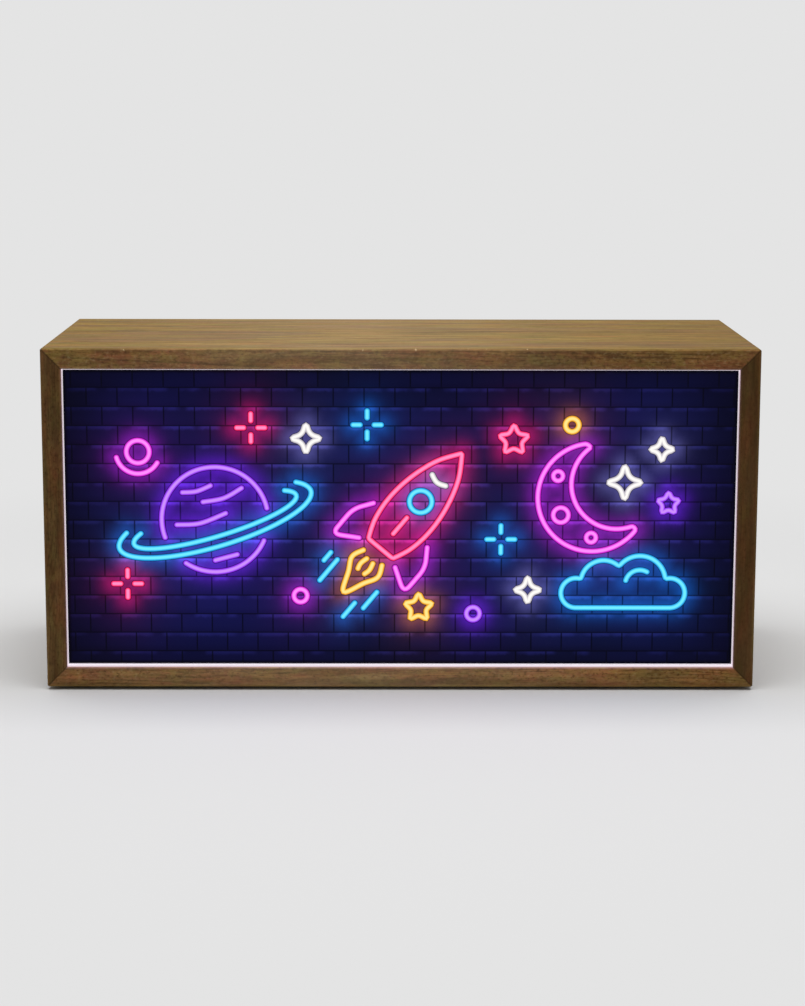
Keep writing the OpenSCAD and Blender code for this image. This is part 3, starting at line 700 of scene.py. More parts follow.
def rounded(points, radius, closed=False):
    """Straight lines between the points, with their corners rounded off."""
    given = np.array(points, float)
    count = len(given)
    line = [] if closed else [given[:1]]
    t = np.linspace(0, 1, CORNER_POINTS)[:, None]
    for i in range(0 if closed else 1, count if closed else count - 1):
        before, corner, after = given[i - 1], given[i], given[(i + 1) % count]
        ends = []
        for other in (before, after):
            gap = other - corner
            length = np.hypot(*gap)
            ends.append(corner + gap / length * min(radius, CORNER_SHARE * length))
        line.append((1 - t) ** 2 * ends[0] + 2 * t * (1 - t) * corner + t**2 * ends[1])
    return np.vstack(line if closed else line + [given[-1:]])


def ring(centre, radius):
    """A whole circle, for a closed tube."""
    return arc(centre, radius, 0, 360)[:-1]


print("A ring of radius 10 mm has", len(dense(ring((0, 0), 10), closed=True)), "points")

# %% Tubes that keep clear of each other
TUBE_GAP = 5.2
SHORTEST = 4
PICTURE_SCALE = 0.9
tubes = {name: [] for name in ("pink", "cyan", "white", "yellow", "purple", "magenta")}
fills = []


def clear_of_others(line):
    """Which points of a line are far enough from the tubes that are already there."""
    earlier = [other for lines in tubes.values() for other, _ in lines]
    if not earlier:
        return np.ones(len(line), bool)
    apart = line[:, None, :] - np.vstack(earlier)[None, :, :]
    return np.hypot(apart[..., 0], apart[..., 1]).min(axis=1) > TUBE_GAP


def draw(colour, points, closed=False, fill=False):
    """Adds a tube. It is cut wherever it comes near a tube that is already there."""
    line = dense(PICTURE_SCALE * np.array(points), closed)
    if fill:
        fills.append((colour, line))
    clear = clear_of_others(line)
    if clear.all():
        tubes[colour].append((line, closed))
        return
    if closed:
        first = int(np.argmin(clear))
        line = np.roll(line, -first, axis=0)
        clear = np.roll(clear, -first)
    marks = np.flatnonzero(np.diff(np.concatenate([[0], clear.astype(int), [0]])))
    for start, end in zip(marks[::2], marks[1::2]):
        if end - start > SHORTEST:
            tubes[colour].append((line[start:end], False))


def tube_count():
    return sum(len(lines) for lines in tubes.values())


print("Tubes in", len(tubes), "colours, at least", TUBE_GAP, "mm apart")

# %% The rocket
ROCKET = (8, 5)
LEAN = -40


def on_rocket(points):
    return placed(points, ROCKET, LEAN)


flank = [(10, -34), (15.5, -20), (17.5, -3), (15.5, 16), (9.5, 35), (0, 50)]
hull = smooth(flank)
hull = np.vstack([hull, hull[-2::-1] * (-1, 1)])
draw("pink", on_rocket(rounded(hull[2:-2], 2, closed=True)), closed=True, fill=True)
draw("cyan", on_rocket(ring((0, 8), 7.4)), closed=True)
draw("white", on_rocket(smooth([(-6.8, 27), (0, 24.6), (6.8, 27)])))
draw("white", on_rocket(smooth([(-8, -27), (0, -28.6), (8, -27)])))
draw("pink", on_rocket([(0, -6), (0, -20)]))
fin = [(20.5, -9), (31, -24), (31, -46), (15.5, -36.5)]
for side in (1, -1):
    draw("magenta", on_rocket(rounded(fin, 6) * (side, 1)))
flame = [(-8, -41), (-11, -49), (-6.5, -58), (0, -71), (6.5, -58), (11, -49), (8, -41)]
draw("yellow", on_rocket(smooth(flame)), fill=True)
draw("yellow", on_rocket(smooth([(-2.6, -44), (-3.6, -50), (0, -57.5), (3.6, -50), (2.6, -44)])))
for x, start, end in ((-17, -57, -75), (17, -57, -71), (-23.5, -56, -63), (10.5, -72, -84)):
    draw("cyan", on_rocket([(x, start), (x, end)]))
print("Rocket:", tube_count(), "tubes so far")

# %% The planet
PLANET = (-122, -1)
SATELLITE = (-172, 44)
TILT = 17
for reach, squeeze in ((66, 0.27), (56, 0.2)):
    draw("cyan", arc(PLANET, reach, -208, 28, squeeze, TILT))
draw("purple", ring(PLANET, 35), closed=True, fill=True)
belts = (
    [(-25, 4), (-10, 0.5), (8, 2)],
    [(-4, 13.5), (10, 12), (23, 15)],
    [(-15, 23.5), (-6, 21.5), (4, 22.5)],
    [(-8, -26), (7, -26.5)],
)
for belt in belts:
    draw("purple", placed(smooth(belt), PLANET, TILT))
draw("magenta", ring(SATELLITE, 7.5), closed=True, fill=True)
draw("magenta", arc(SATELLITE, 14.5, 195, 330))
print("Planet:", tube_count(), "tubes so far")

# %% The moon and the cloud
MOON = (126, 14)
MOON_RADIUS = 36
BITE = (142, 23)
BITE_RADIUS = 30
BITE_SIDE = 29


def distance(points, centre):
    return np.hypot(*(points - centre).T)


def by_angle(points, centre, start):
    """Points sorted anticlockwise about a centre, from a start angle."""
    angles = np.degrees(np.arctan2(*(points - centre).T[::-1]))
    return points[np.argsort((angles - start) % 360)]


limb = ring(MOON, MOON_RADIUS)
limb = by_angle(limb[distance(limb, BITE) > BITE_RADIUS], MOON, BITE_SIDE)
bay = ring(BITE, BITE_RADIUS)
bay = by_angle(bay[distance(bay, MOON) < MOON_RADIUS], BITE, BITE_SIDE)[::-1]
crescent = np.vstack([limb[2:-2], bay[2:-2]])
draw("magenta", rounded(crescent, 2, closed=True), closed=True, fill=True)
for x, z, radius in ((103.2, 28.3, 3.2), (105.3, 2.3, 5.0), (125.4, -12.8, 3.2)):
    draw("magenta", ring((x, z), radius), closed=True)

CLOUD_BASE = -50
PUFFS = ((116, CLOUD_BASE, 10), (134, -43, 15), (158, -42, 17), (178, CLOUD_BASE, 10))
CLOUD_MIDDLE = (147, CLOUD_BASE - 9)
rim = np.vstack([ring((x, z), radius) for x, z, radius in PUFFS])
for x, z, radius in PUFFS:
    rim = rim[distance(rim, (x, z)) > radius - 0.01]
between = (rim[:, 0] >= PUFFS[0][0]) & (rim[:, 0] <= PUFFS[-1][0])
rim = by_angle(rim[~between | (rim[:, 1] > CLOUD_BASE)], CLOUD_MIDDLE, -4)
draw("cyan", rounded(rim, 2, closed=True), closed=True, fill=True)
draw("cyan", arc((158, -44), 9.5, 60, 165))
print("Moon and cloud:", tube_count(), "tubes so far")

# %% The stars
SPARKLE_WAIST = 0.22
SPARKLE_ROUND = 0.35
STAR_WAIST = 0.5
STAR_ROUND = 1.6
PLUS_INNER = 4.6
PLUS_OUTER = 9.2
DOT_RADIUS = 4.4


def sparkle(x, z, reach):
    """A star with four hollow sides."""
    waist = SPARKLE_WAIST * reach
    corners = [(reach, 0), (waist, waist)]
    outline = [placed([point], (x, z), 90 * k)[0] for k in range(4) for point in corners]
    return rounded(outline, SPARKLE_ROUND * reach, closed=True)


def star(x, z, reach):
    """A star with five points."""
    corners = [(0, STAR_WAIST * reach if k % 2 else reach) for k in range(10)]
    outline = [placed([point], (x, z), 36 * k)[0] for k, point in enumerate(corners)]
    return rounded(outline, STAR_ROUND, closed=True)


for x, z, reach in ((147, 24, 13), (171, 46, 9), (-62, 53, 11), (84, -48, 10)):
    draw("white", sparkle(x, z, reach), closed=True)
for colour, x, z, reach in (("yellow", 12, -60, 10), ("pink", 74, 52, 10.5), ("purple", 176, 10, 8)):
    draw(colour, star(x, z, reach), closed=True)
for colour, x, z in (("cyan", -22, 62), ("pink", -180, -44), ("cyan", 66, -14), ("pink", -98, 60)):
    for turn in (0, 90, 180, 270):
        draw(colour, placed([(PLUS_INNER, 0), (PLUS_OUTER, 0)], (x, z), turn))
for colour, x, z in (("magenta", -66, -52), ("purple", 48, -64), ("yellow", 112, 62)):
    draw(colour, ring((x, z), DOT_RADIUS), closed=True)
length = sum(len(line) for lines in tubes.values() for line, _ in lines)
print({name: len(lines) for name, lines in tubes.items()}, "tubes, about", length, "mm in all")

# %% [markdown]
# ## The film
# The film is a thin closed sheet, so it is made as a grid of points with a back and a rim. Its wall
# of bricks is pure node maths. The light that each tube throws on the wall is worked out once, point
# by point, from the distance to the nearest tube, and is kept on the mesh as a colour that the
# material reads. That is cheaper than many lamps, and it is how a printer's artwork does it too.

# %% The film's mesh
GRID = 2.0
middle_x = (film_low[0] + film_high[0]) / 2
middle_z = (film_low[2] + film_high[2]) / 2
columns = int((film_high[0] - film_low[0]) / GRID)
rows = int((film_high[2] - film_low[2]) / GRID)
across = np.linspace(film_low[0], film_high[0], columns + 1)
upward = np.linspace(film_low[2], film_high[2], rows + 1)


def film_mesh():
    """A closed sheet with a fine front, and one face for its back."""
    front = [(x * MM, FILM_FRONT * MM, z * MM) for z in upward for x in across]
    wide = columns + 1
    faces = [
        (j * wide + i, j * wide + i + 1, (j + 1) * wide + i + 1, (j + 1) * wide + i)
        for j in range(rows)
        for i in range(columns)
    ]
    border = list(range(columns))
    border += [j * wide + columns for j in range(rows)]
    border += [rows * wide + i for i in range(columns, 0, -1)]
    border += [j * wide for j in range(rows, 0, -1)]
    start = len(front)
    count = len(border)
    back = [(front[i][0], film_high[1] * MM, front[i][2]) for i in border]
    for k in range(count):
        after = (k + 1) % count
        faces.append((border[after], border[k], start + k, start + after))
    faces.append(tuple(start + k for k in range(count - 1, -1, -1)))
    mesh = bpy.data.meshes.new("picture_film")
    mesh.from_pydata(front + back, [], faces)
    return mesh


mesh = film_mesh()
print("Film:", columns, "by", rows, "cells,", len(mesh.polygons), "faces")

# %% The light that the tubes throw on the wall
GLOWS = {
    "pink": "#D0106A",
    "cyan": "#0F62C8",
    "white": "#6A68B0",
    "yellow": "#B0601C",
    "purple": "#6A1CE0",
    "magenta": "#A01CC8",
}
FILLS = {"pink": 0.42, "purple": 0.22, "yellow": 0.2, "cyan": 0.18, "magenta": 0.2}
HALO = 0.5
HALO_WIDTH = 6.5
HAZE = 0.2
HAZE_WIDTH = 8.0


def thrown_light(colour, amount):
    """An amount of a tube's light for each point."""
    return amount[:, None] * np.array(shade(GLOWS[colour])[:3])


def inside(points, line):
    """Which points lie inside a closed line."""
    found = np.zeros(len(points), bool)
    for a, b in zip(line, np.roll(line, -1, axis=0)):
        spans = (a[1] > points[:, 1]) != (b[1] > points[:, 1])
        with np.errstate(divide="ignore", invalid="ignore"):
            cut = a[0] + (points[:, 1] - a[1]) * (b[0] - a[0]) / (b[1] - a[1])
        found ^= spans & (points[:, 0] < cut)
    return found


points = np.array([(v.co.x / MM - middle_x, v.co.z / MM - middle_z) for v in mesh.vertices])
light = np.zeros((len(points), 4), np.float32)
light[:, 3] = 1
for colour, lines in tubes.items():
    beads = np.vstack([line for line, _ in lines])
    nearest = np.full(len(points), 1e3)
    for part in np.array_split(beads, max(1, len(beads) // 200)):
        gaps = np.hypot(points[:, :1] - part[:, 0], points[:, 1:] - part[:, 1])
        nearest = np.minimum(nearest, gaps.min(axis=1))
    power = HALO * np.exp(-((nearest / HALO_WIDTH) ** 2)) + HAZE * np.exp(-nearest / HAZE_WIDTH)
    light[:, :3] += thrown_light(colour, power)
for colour, line in fills:
    light[:, :3] += thrown_light(colour, FILLS[colour] * inside(points, line))
glow = mesh.attributes.new("glow", "FLOAT_COLOR", "POINT")
glow.data.foreach_set("color", light.ravel())
print("Light on the wall is at most", light[:, :3].max(axis=0).round(2))

# %% The wall of bricks
# Bricks and courses are counted from well outside the film, so that no count falls below zero.
BRICK = 18.1
COURSE = 11.3
TOP_JOINT = 10.3
BRICKS_LEFT = 39.76
COURSES_BELOW = 41
MORTAR = 0.042
LEDGE_FADE = (0.66, 0.9)
print_film, place = new_material("picture_film")
x, _, z = place.parts()
u = (x - film_low[0]) / BRICK + BRICKS_LEFT
v = (z - film_high[2] + TOP_JOINT) / COURSE + COURSES_BELOW
wall = place.node(
    "ShaderNodeTexBrick",
    {"offset": 0.5, "offset_frequency": 2, "squash": 1.0, "squash_frequency": 2},
    {
        "Vector": place.vector(u, v * (COURSE / BRICK)),
        "Color1": shade("#0C0F33"),
        "Color2": shade("#121444"),
        "Mortar": shade("#030416"),
        "Scale": 1.0,
        "Mortar Size": MORTAR,
        "Mortar Smooth": 1.0,
        "Bias": -0.1,
        "Brick Width": 1.0,
        "Row Height": COURSE / BRICK,
    },
    "Color",
)
joints = Flow(place.tree, wall.socket.node.outputs["Fac"])
height = v % 1
row = v - height
ragged = place.vector(u * 5.0, row * 3.7, height * 2.0).noise(detail=3.0, roughness=0.6)
some = place.vector(u * 1.3, row * 5.1).noise(detail=1.0).rise(0.36, 0.6)
broken = (height + 0.4 * (ragged - 0.5)).rise(*LEDGE_FADE)
ledge = height.rise(*LEDGE_FADE) * broken * (1 - joints)
lit_wall = wall.mix("#242670", ledge * some * 0.85)
lit_wall = lit_wall.mix("#080928", (1 - height.rise(0.0, 0.4)) * 0.65)
blue = place.vector(x / 120, z / 80).noise(detail=1.0).rise(0.3, 0.7)
lit_wall = lit_wall.mix("#121554", blue * (1 - joints) * 0.35)
print("Bricks of", BRICK, "by", COURSE, "mm on a film", round(film_high[0] - film_low[0], 1), "mm wide")

# %% The film's material
SIDE_FADE = (-12, 60)
END_FADE = (-18, 40)
BRINK_SHADOW_FADE = (0.6, 2.6)
SPECK = 0.45
INK_PALENESS = 0.12
from_side = (film_high[0] - middle_x) - abs(x - middle_x)
from_ends = (film_high[2] - middle_z) - abs(z - middle_z)
corner = from_side.rise(*SIDE_FADE) * from_ends.rise(*END_FADE)
lit_wall = place.colour("#05040F").mix(lit_wall, 0.15 + 0.85 * corner)
# A painted shadow: the film goes nearly black within a few millimetres of its edges, where the reveal
# meets it.
brink_shadow = 1 - from_side.least(from_ends).rise(*BRINK_SHADOW_FADE)
lit_wall = lit_wall.mix("#020208", brink_shadow * 0.85)
thrown = place.node("ShaderNodeAttribute", {"attribute_name": "glow"}, None, "Color")
relief = 0.62 + 0.5 * ledge * some - 0.45 * joints + 0.25 * (ragged - 0.5)
sum_of = {"Vector": lit_wall, "Vector_001": thrown.scaled(relief)}
picture = place.node("ShaderNodeVectorMath", {"operation": "ADD"}, sum_of)
speck = place.noise(SPECK, detail=1.0)
set_surface(
    print_film,
    {
        "Base Color": picture.scaled(INK_PALENESS),
        "Roughness": 0.42 + 0.12 * speck,
        "Emission Color": picture,
        "Emission Strength": 1.0,
        "Specular IOR Level": 0.03,
        "Normal": speck.bump(0.1, 0.01 * MM),
    },
)
mesh.materials.append(print_film)
film = add_piece(mesh, "case")
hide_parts("print_film")
print("The picture darkens over", SIDE_FADE[1], "mm at its sides,", END_FADE[1], "mm above and below")

# %% [markdown]
# ## Neon tubes
# A printed tube is a band that is pale in the middle, strong in colour at its sides and soft at its
# rim. Geometry Nodes can sweep a flat profile along each line, and put half a disc on its ends. Each
# point keeps how far it is from the middle of the band, so one material can colour core, side and
# rim. Resampling first keeps the faces even, and a little thickness makes it a layer of ink. The
# middle is lifted to a low ridge, so that where two bands meet, the nearer middle lies on top.

# %% Bands and their ends
STEPS = 9


def keep_across(geometry, value):
    """Stores on each point how far across the band it is: 0 in the middle, 1 at the rim."""
    return geometry.node(
        "GeometryNodeStoreNamedAttribute",
        {"data_type": "FLOAT", "domain": "POINT"},
        {"Geometry": geometry, "Name": "across", "Value": value},
    )


def flat_bands(lines, half_width):
    """A flat profile swept along the lines."""
    level = lines.node("GeometryNodeSetCurveNormal", {"mode": "Z_UP"}, {"Curve": lines})
    ends = {"Start": lines.vector(-1 * half_width, 0.0), "End": lines.vector(half_width, 0.0)}
    profile = lines.node("GeometryNodeCurvePrimitiveLine", None, ends)
    counted = {"Curve": profile, "Count": STEPS}
    profile = lines.node("GeometryNodeResampleCurve", {"mode": "COUNT"}, counted)
    factor = lines.node("GeometryNodeSplineParameter", output="Factor")
    profile = keep_across(profile, abs(factor * 2 - 1))
    return lines.node("GeometryNodeCurveToMesh", None, {"Curve": level, "Profile Curve": profile})


def half_disc(half_width):
    """A square grid bent to half a disc."""
    sizes = {"Size X": 1.0, "Size Y": 1.0, "Vertices X": STEPS // 2 + 1, "Vertices Y": STEPS}
    sheet = half_width.node("GeometryNodeMeshGrid", None, sizes, "Mesh")
    x, y, _ = half_width.node("GeometryNodeInputPosition").parts()
    sheet = keep_across(sheet, x + 0.5)
    reach = (x + 0.5) * half_width
    turn = y * math.pi
    curl = x.vector(reach * turn.math("COSINE", turn), reach * turn.math("SINE", turn))
    return sheet.node("GeometryNodeSetPosition", None, {"Geometry": sheet, "Position": curl})


def round_ends(lines, disc):
    """Half a disc on both ends of each open line."""
    unclosed = 1 - lines.node("GeometryNodeInputSplineCyclic")
    tangent = lines.node("GeometryNodeInputTangent")
    made = []
    for first, last, sign in ((1, 0, -1.0), (0, 1, 1.0)):
        sizes = {"Start Size": first, "End Size": last}
        ends = lines.node("GeometryNodeCurveEndpointSelection", None, sizes)
        facing = lines.node(
            "FunctionNodeAlignRotationToVector",
            {"axis": "X", "pivot_axis": "Z"},
            {"Vector": tangent.scaled(sign)},
        )
        inputs = {"Points": lines, "Selection": ends * unclosed, "Instance": disc, "Rotation": facing}
        made.append(lines.node("GeometryNodeInstanceOnPoints", None, inputs))
    return made


print("A band has", STEPS, "points across")

# %% The tree that makes the bands
MERGE = 0.01
BAND_INPUTS = {
    "Lines": "Geometry",
    "Width": "Float",
    "Spacing": "Float",
    "Ridge": "Float",
    "Finish": "Material",
}


def band_tree():
    """Lines in, flat bands with round ends out."""
    tree = bpy.data.node_groups.new("band", "GeometryNodeTree")
    for name, kind in BAND_INPUTS.items():
        tree.interface.new_socket(name, in_out="INPUT", socket_type="NodeSocket" + kind)
    tree.interface.new_socket("Bands", in_out="OUTPUT", socket_type="NodeSocketGeometry")
    start = Flow(tree)
    start.node("NodeGroupInput")
    given = {socket.name: Flow(tree, socket) for socket in tree.nodes[-1].outputs}
    half_width = given["Width"] * 0.5
    lines = start.node("GeometryNodeMeshToCurve", None, {"Mesh": given["Lines"]})
    spaced = {"Curve": lines, "Length": given["Spacing"]}
    even = start.node("GeometryNodeResampleCurve", {"mode": "LENGTH"}, spaced)
    pieces = [flat_bands(even, half_width), *round_ends(even, half_disc(half_width))]
    whole = start.node("GeometryNodeJoinGeometry", None, {"Geometry": pieces})
    whole = start.node("GeometryNodeRealizeInstances", None, {"Geometry": whole})
    joined = {"Geometry": whole, "Distance": MERGE * MM}
    whole = start.node("GeometryNodeMergeByDistance", None, joined)
    across = start.node("GeometryNodeInputNamedAttribute", None, {"Name": "across"}, "Attribute")
    lift = start.vector(0.0, 0.0, given["Ridge"] * (1 - across))
    whole = start.node("GeometryNodeSetPosition", None, {"Geometry": whole, "Offset": lift})
    finished = {"Geometry": whole, "Material": given["Finish"]}
    whole = start.node("GeometryNodeSetMaterial", None, finished)
    start.node("NodeGroupOutput", None, {"Bands": whole})
    return tree


bands = band_tree()
print("The tree has", len(bands.nodes), "nodes")

# %% From lines to a piece
INK = 0.03


def swept(name, lines, width, spacing, ridge, finish):
    """A mesh of bands along these lines, flat in the x-y plane and facing up."""
    spots = []
    edges = []
    for line, closed in lines:
        first = len(spots)
        spots += [(a * MM, b * MM, 0.0) for a, b in line]
        edges += [(first + i, first + i + 1) for i in range(len(line) - 1)]
        if closed:
            edges.append((len(spots) - 1, first))
    guide = bpy.data.meshes.new(name + "_lines")
    guide.from_pydata(spots, edges, [])
    host = add_object(name + "_lines", guide)
    maker = host.modifiers.new("bands", "NODES")
    maker.node_group = bands
    keys = {item.name: item.identifier for item in bands.interface.items_tree if item.in_out == "INPUT"}
    maker[keys["Width"]] = width * MM
    maker[keys["Spacing"]] = spacing * MM
    maker[keys["Ridge"]] = ridge * MM
    maker[keys["Finish"]] = finish
    layer = host.modifiers.new("ink", "SOLIDIFY")
    layer.thickness = INK * MM
    layer.offset = -1.0
    view = bpy.context.evaluated_depsgraph_get()
    made = bpy.data.meshes.new_from_object(host.evaluated_get(view))
    bpy.data.objects.remove(host)
    bpy.data.meshes.remove(guide)
    made.name = name
    return made


print("A layer of ink is", INK, "mm thick")

# %% The tubes' materials and pieces
TUBE_WIDTH = 4.6
TUBE_RIDGE = 0.1
TUBE_STEP = 1.1
TUBE_SHADES = {
    "pink": ("#FF8FC4", "#FF2368"),
    "cyan": ("#6FE9FF", "#1E9BE4"),
    "white": ("#FAF7F3", "#BEB8C2"),
    "yellow": ("#FFE58A", "#EFA21E"),
    "purple": ("#C98CFF", "#8A2BEA"),
    "magenta": ("#FF8CFA", "#D51FD6"),
}
RIM = "#0B0824"
CORE_TO_SIDE = (0.18, 0.62)
SIDE_TO_RIM = (0.64, 0.8)
RIM_FADE = (0.7, 1.0)


def tube_material(name, core, side):
    """Pale in the middle, strong at the sides, and fading out at the rim."""
    made, place = new_material("neon_" + name)
    far = place.node("ShaderNodeAttribute", {"attribute_name": "across"}, None, "Fac")
    grain = place.noise(detail=1.0)
    colour = place.colour(core).mix(side, (far + 0.06 * (grain - 0.5)).rise(*CORE_TO_SIDE))
    colour = colour.mix(RIM, far.rise(*SIDE_TO_RIM))
    set_surface(
        made,
        {
            "Base Color": colour.scaled(INK_PALENESS),
            "Roughness": 0.4 + 0.1 * grain,
            "Emission Color": colour,
            "Emission Strength": 1.0,
            "Alpha": 1 - far.rise(*RIM_FADE),
            "Specular IOR Level": 0.03,
        },
    )
    return made


upright = Matrix.Rotation(math.radians(90), 4, "X")
on_film = Matrix.Translation(Vector((middle_x, FILM_FRONT - INK / 2, middle_z)) * MM) @ upright
for name, lines in tubes.items():
    finish = tube_material(name, *TUBE_SHADES[name])
    made = swept("neon_tubes_" + name, lines, TUBE_WIDTH, TUBE_STEP, TUBE_RIDGE, finish)
    made.transform(on_film)
    add_piece(made, "case")
    print(name, "tubes:", len(lines), "lines,", len(made.polygons), "faces")

# %% [markdown]
# ## Glue blocks
# The blocks in the corners are offcuts of pale softwood: straight, wide rings and rough sawn faces.
# They are sealed inside the box, so a short version of the walnut maths is enough.

# %% Pine
pine, place = new_material("pine")
x, y, z = place.parts()
sway = place.vector(x / 9, y / 60, z / 9).noise()
growth = ((x * 0.6 + z) / 3.2 + 2.4 * sway) % 1
hair = place.vector(x / 0.5, y / 14, z / 0.5).noise()
late = growth.rise(0.3, 0.9) * (1 - growth.rise(0.92, 1.0))
wood = place.colour("#DDBE8C").mix("#B98A52", late * 0.7)
wood = wood.mix("#9A7244", hair.rise(0.55, 0.8) * 0.4)
set_surface(
    pine,
    {"Base Color": wood, "Roughness": 0.65 + 0.15 * hair, "Normal": hair.bump(0.4, 0.1 * MM)},
)
corners = [f"corner_block_{level}_{side}" for level in ("bottom", "top") for side in ("left", "right")]
dress(pine, *corners, "mid_block_top", "mid_block_bottom")
print("Pine on", len(corners) + 2, "blocks")

# %% [markdown]
# ## Back panel, plate and screws
# The back is a thin hardboard with white paint on its faces and brown fibre at its edges. A sprayed
# coat dries with a fine ripple, which shows only as a soft unevenness of the shine. The plate is
# steel with black powder coat, and its grain is coarser. The screws are zinc plated.

# %% Back panel
panel_low, panel_high = bounds_mm("back_panel")
board_paint, place = new_material("back_board")
x, y, _ = place.parts()
ripple = place.noise(1.6)
dust = place.noise(40, 3.0, 0.6)
fleck = place.noise(0.7, 1.0).rise(0.68, 0.74)
rim = abs(x).rise(panel_high[0] - 0.5, panel_high[0] - 0.2)
core = (y - panel_low[1]).rise(0.2, 0.4) * (panel_high[1] - y).rise(0.2, 0.4)
painted = place.colour("#E9E6DF").mix("#DDD9CF", dust.rise(0.35, 0.75) * 0.5)
painted = painted.mix("#BDB5A6", fleck * 0.3)
set_surface(
    board_paint,
    {
        "Base Color": painted.mix("#6E4E30", core.most(rim)),
        "Roughness": 0.42 + 0.16 * ripple,
        "Normal": (ripple + 0.4 * dust).bump(0.25, 0.05 * MM),
    },
)
dress(board_paint, "back_panel")
print("Back panel is", round(panel_high[1] - panel_low[1], 2), "mm thick")

# %% Powder coat on the plate
powder, place = new_material("plate_black")
pimple = place.noise(0.45, 1.0)
haze = place.noise(14)
set_surface(
    powder,
    {
        "Base Color": place.colour("#1B1B1D").mix("#2C2C2F", 0.6 * pimple + 0.4 * haze),
        "Roughness": 0.5 + 0.2 * pimple,
        "Normal": pimple.bump(0.5, 0.06 * MM),
    },
)
dress(powder, "control_plate")
print("Plate is", round(bounds_mm("control_plate")[1][0] - bounds_mm("control_plate")[0][0], 1), "mm wide")

# %% Zinc on the screws
zinc, place = new_material("zinc_steel")
x, y, z = place.parts()
bloom = place.noise(2.2, 3.0, 0.6)
turned = place.vector(x / 6, y / 0.12, z / 6).noise(detail=1.0)
set_surface(
    zinc,
    {
        "Base Color": place.colour("#B9BBBC").mix("#D8D6CC", bloom),
        "Metallic": 1.0,
        "Roughness": 0.26 + 0.18 * bloom + 0.08 * turned,
        "Normal": turned.bump(0.12, 0.02 * MM),
    },
)
dress(zinc, "back_screws", "plate_screws")
print("Screws are dressed")

# %% Rubber feet
rubber, place = new_material("foot_rubber")
skin = place.noise(0.35)
scuff = place.noise(5).rise(0.5, 0.8)
set_surface(
    rubber,
    {
        "Base Color": place.colour("#242425").mix("#4A4947", scuff * 0.6),
        "Roughness": 0.72 + 0.15 * skin,
        "Normal": skin.bump(0.3, 0.04 * MM),
    },
)
feet = [f"foot_{end}_{side}" for end in ("front", "rear") for side in ("left", "right")]
dress(rubber, *feet)
print("Rubber on", len(feet), "feet")

# %% [markdown]
# ## LED strips and wires
# A strip is a white circuit that can be cut every 50 mm, with copper pads at each cut. Both the pads
# and the round yellow windows of the LEDs repeat along the strip, so the remainder of a division
# places them. The LEDs and chip resistors get their ends the same way.

# %% Places along the strips
STRIPS = (1, 2, 3, 4)
strip_left = bounds_mm("led_strip_1")[0][0]
strip_rows = [sum(corner[2] for corner in bounds_mm(f"led_strip_{i}")) / 2 for i in STRIPS]
SEGMENT = 50.0
LED_PITCH = SEGMENT / 3
ROW_PITCH = strip_rows[1] - strip_rows[0]


def strip_place(place):
    """Along the strips from their left end, and up from the middle of the nearest one."""
    x, _, z = place.parts()
    return x - strip_left, (z - strip_rows[0] + ROW_PITCH / 2) % ROW_PITCH - ROW_PITCH / 2


print("Strips at heights", [round(value, 1) for value in strip_rows])

# %% White circuits
circuit, place = new_material("strip_white")
run, up = strip_place(place)
pad_x = abs((run + SEGMENT / 2) % SEGMENT - SEGMENT / 2)
pads = (1 - pad_x.rise(2.2, 2.4)) * (1 - abs(abs(up) - 3).rise(1.0, 1.2))
cut = 1 - pad_x.rise(0.12, 0.2)
weave = place.noise(detail=1.0)
mask = place.colour("#F1F0EC").mix("#E2E0D8", weave)
set_surface(
    circuit,
    {
        "Base Color": mask.mix("#C88A55", pads).mix("#3A3A3A", cut * 0.6),
        "Metallic": pads * (1 - cut),
        "Roughness": 0.45 - 0.15 * pads + 0.1 * weave,
        "Normal": (weave + pads).bump(0.2, 0.03 * MM),
    },
)
dress(circuit, *[f"led_strip_{i}" for i in STRIPS])
print("Circuits have pads every", SEGMENT, "mm")

# %% LEDs
emitter, place = new_material("led_yellow")
run, up = strip_place(place)
off = run % LED_PITCH - LED_PITCH / 2
window = 1 - place.vector(off, up).length().rise(1.95, 2.05)
grains = place.vector(off, up).noise(0.3)
gel = place.colour("#F4DC6A").mix("#E6BE3C", grains)
set_surface(
    emitter,
    {
        "Base Color": place.colour("#F3F1EA").mix(gel, window),
        "Roughness": 0.35 + 0.2 * grains,
        "Normal": grains.bump(0.2, 0.03 * MM),
    },
)
dress(emitter, *[f"led_row_{i}" for i in STRIPS])
print("LEDs are", round(LED_PITCH, 2), "mm apart")

# %% Chip resistors
chip, place = new_material("chip_black")
run, up = strip_place(place)
off = abs(run % SEGMENT - LED_PITCH)
tin = off.rise(1.15, 1.25)
mottle = place.noise(0.33)
set_surface(
    chip,
    {
        "Base Color": place.colour("#1E1E20").mix("#C4C4C0", tin),
        "Metallic": tin,
        "Roughness": 0.35 + 0.2 * mottle,
    },
)
dress(chip, "strip_resistors")
print("Resistors are dressed")

# %% Plastics and metals by one function
def plain_finish(name, dark, pale, grain, roughness, metallic=0.0, relief=0.2):
    """A moulded or plated finish: two close shades, uneven shine and a fine relief."""
    made, place = new_material(name)
    fine = place.noise(grain)
    slow = place.noise(12)
    set_surface(
        made,
        {
            "Base Color": place.colour(dark).mix(pale, 0.5 * fine + 0.5 * slow),
            "Metallic": metallic,
            "Roughness": roughness + 0.12 * fine + 0.08 * (slow - 0.5),
            "Normal": fine.bump(relief, 0.03 * MM),
        },
    )
    return made


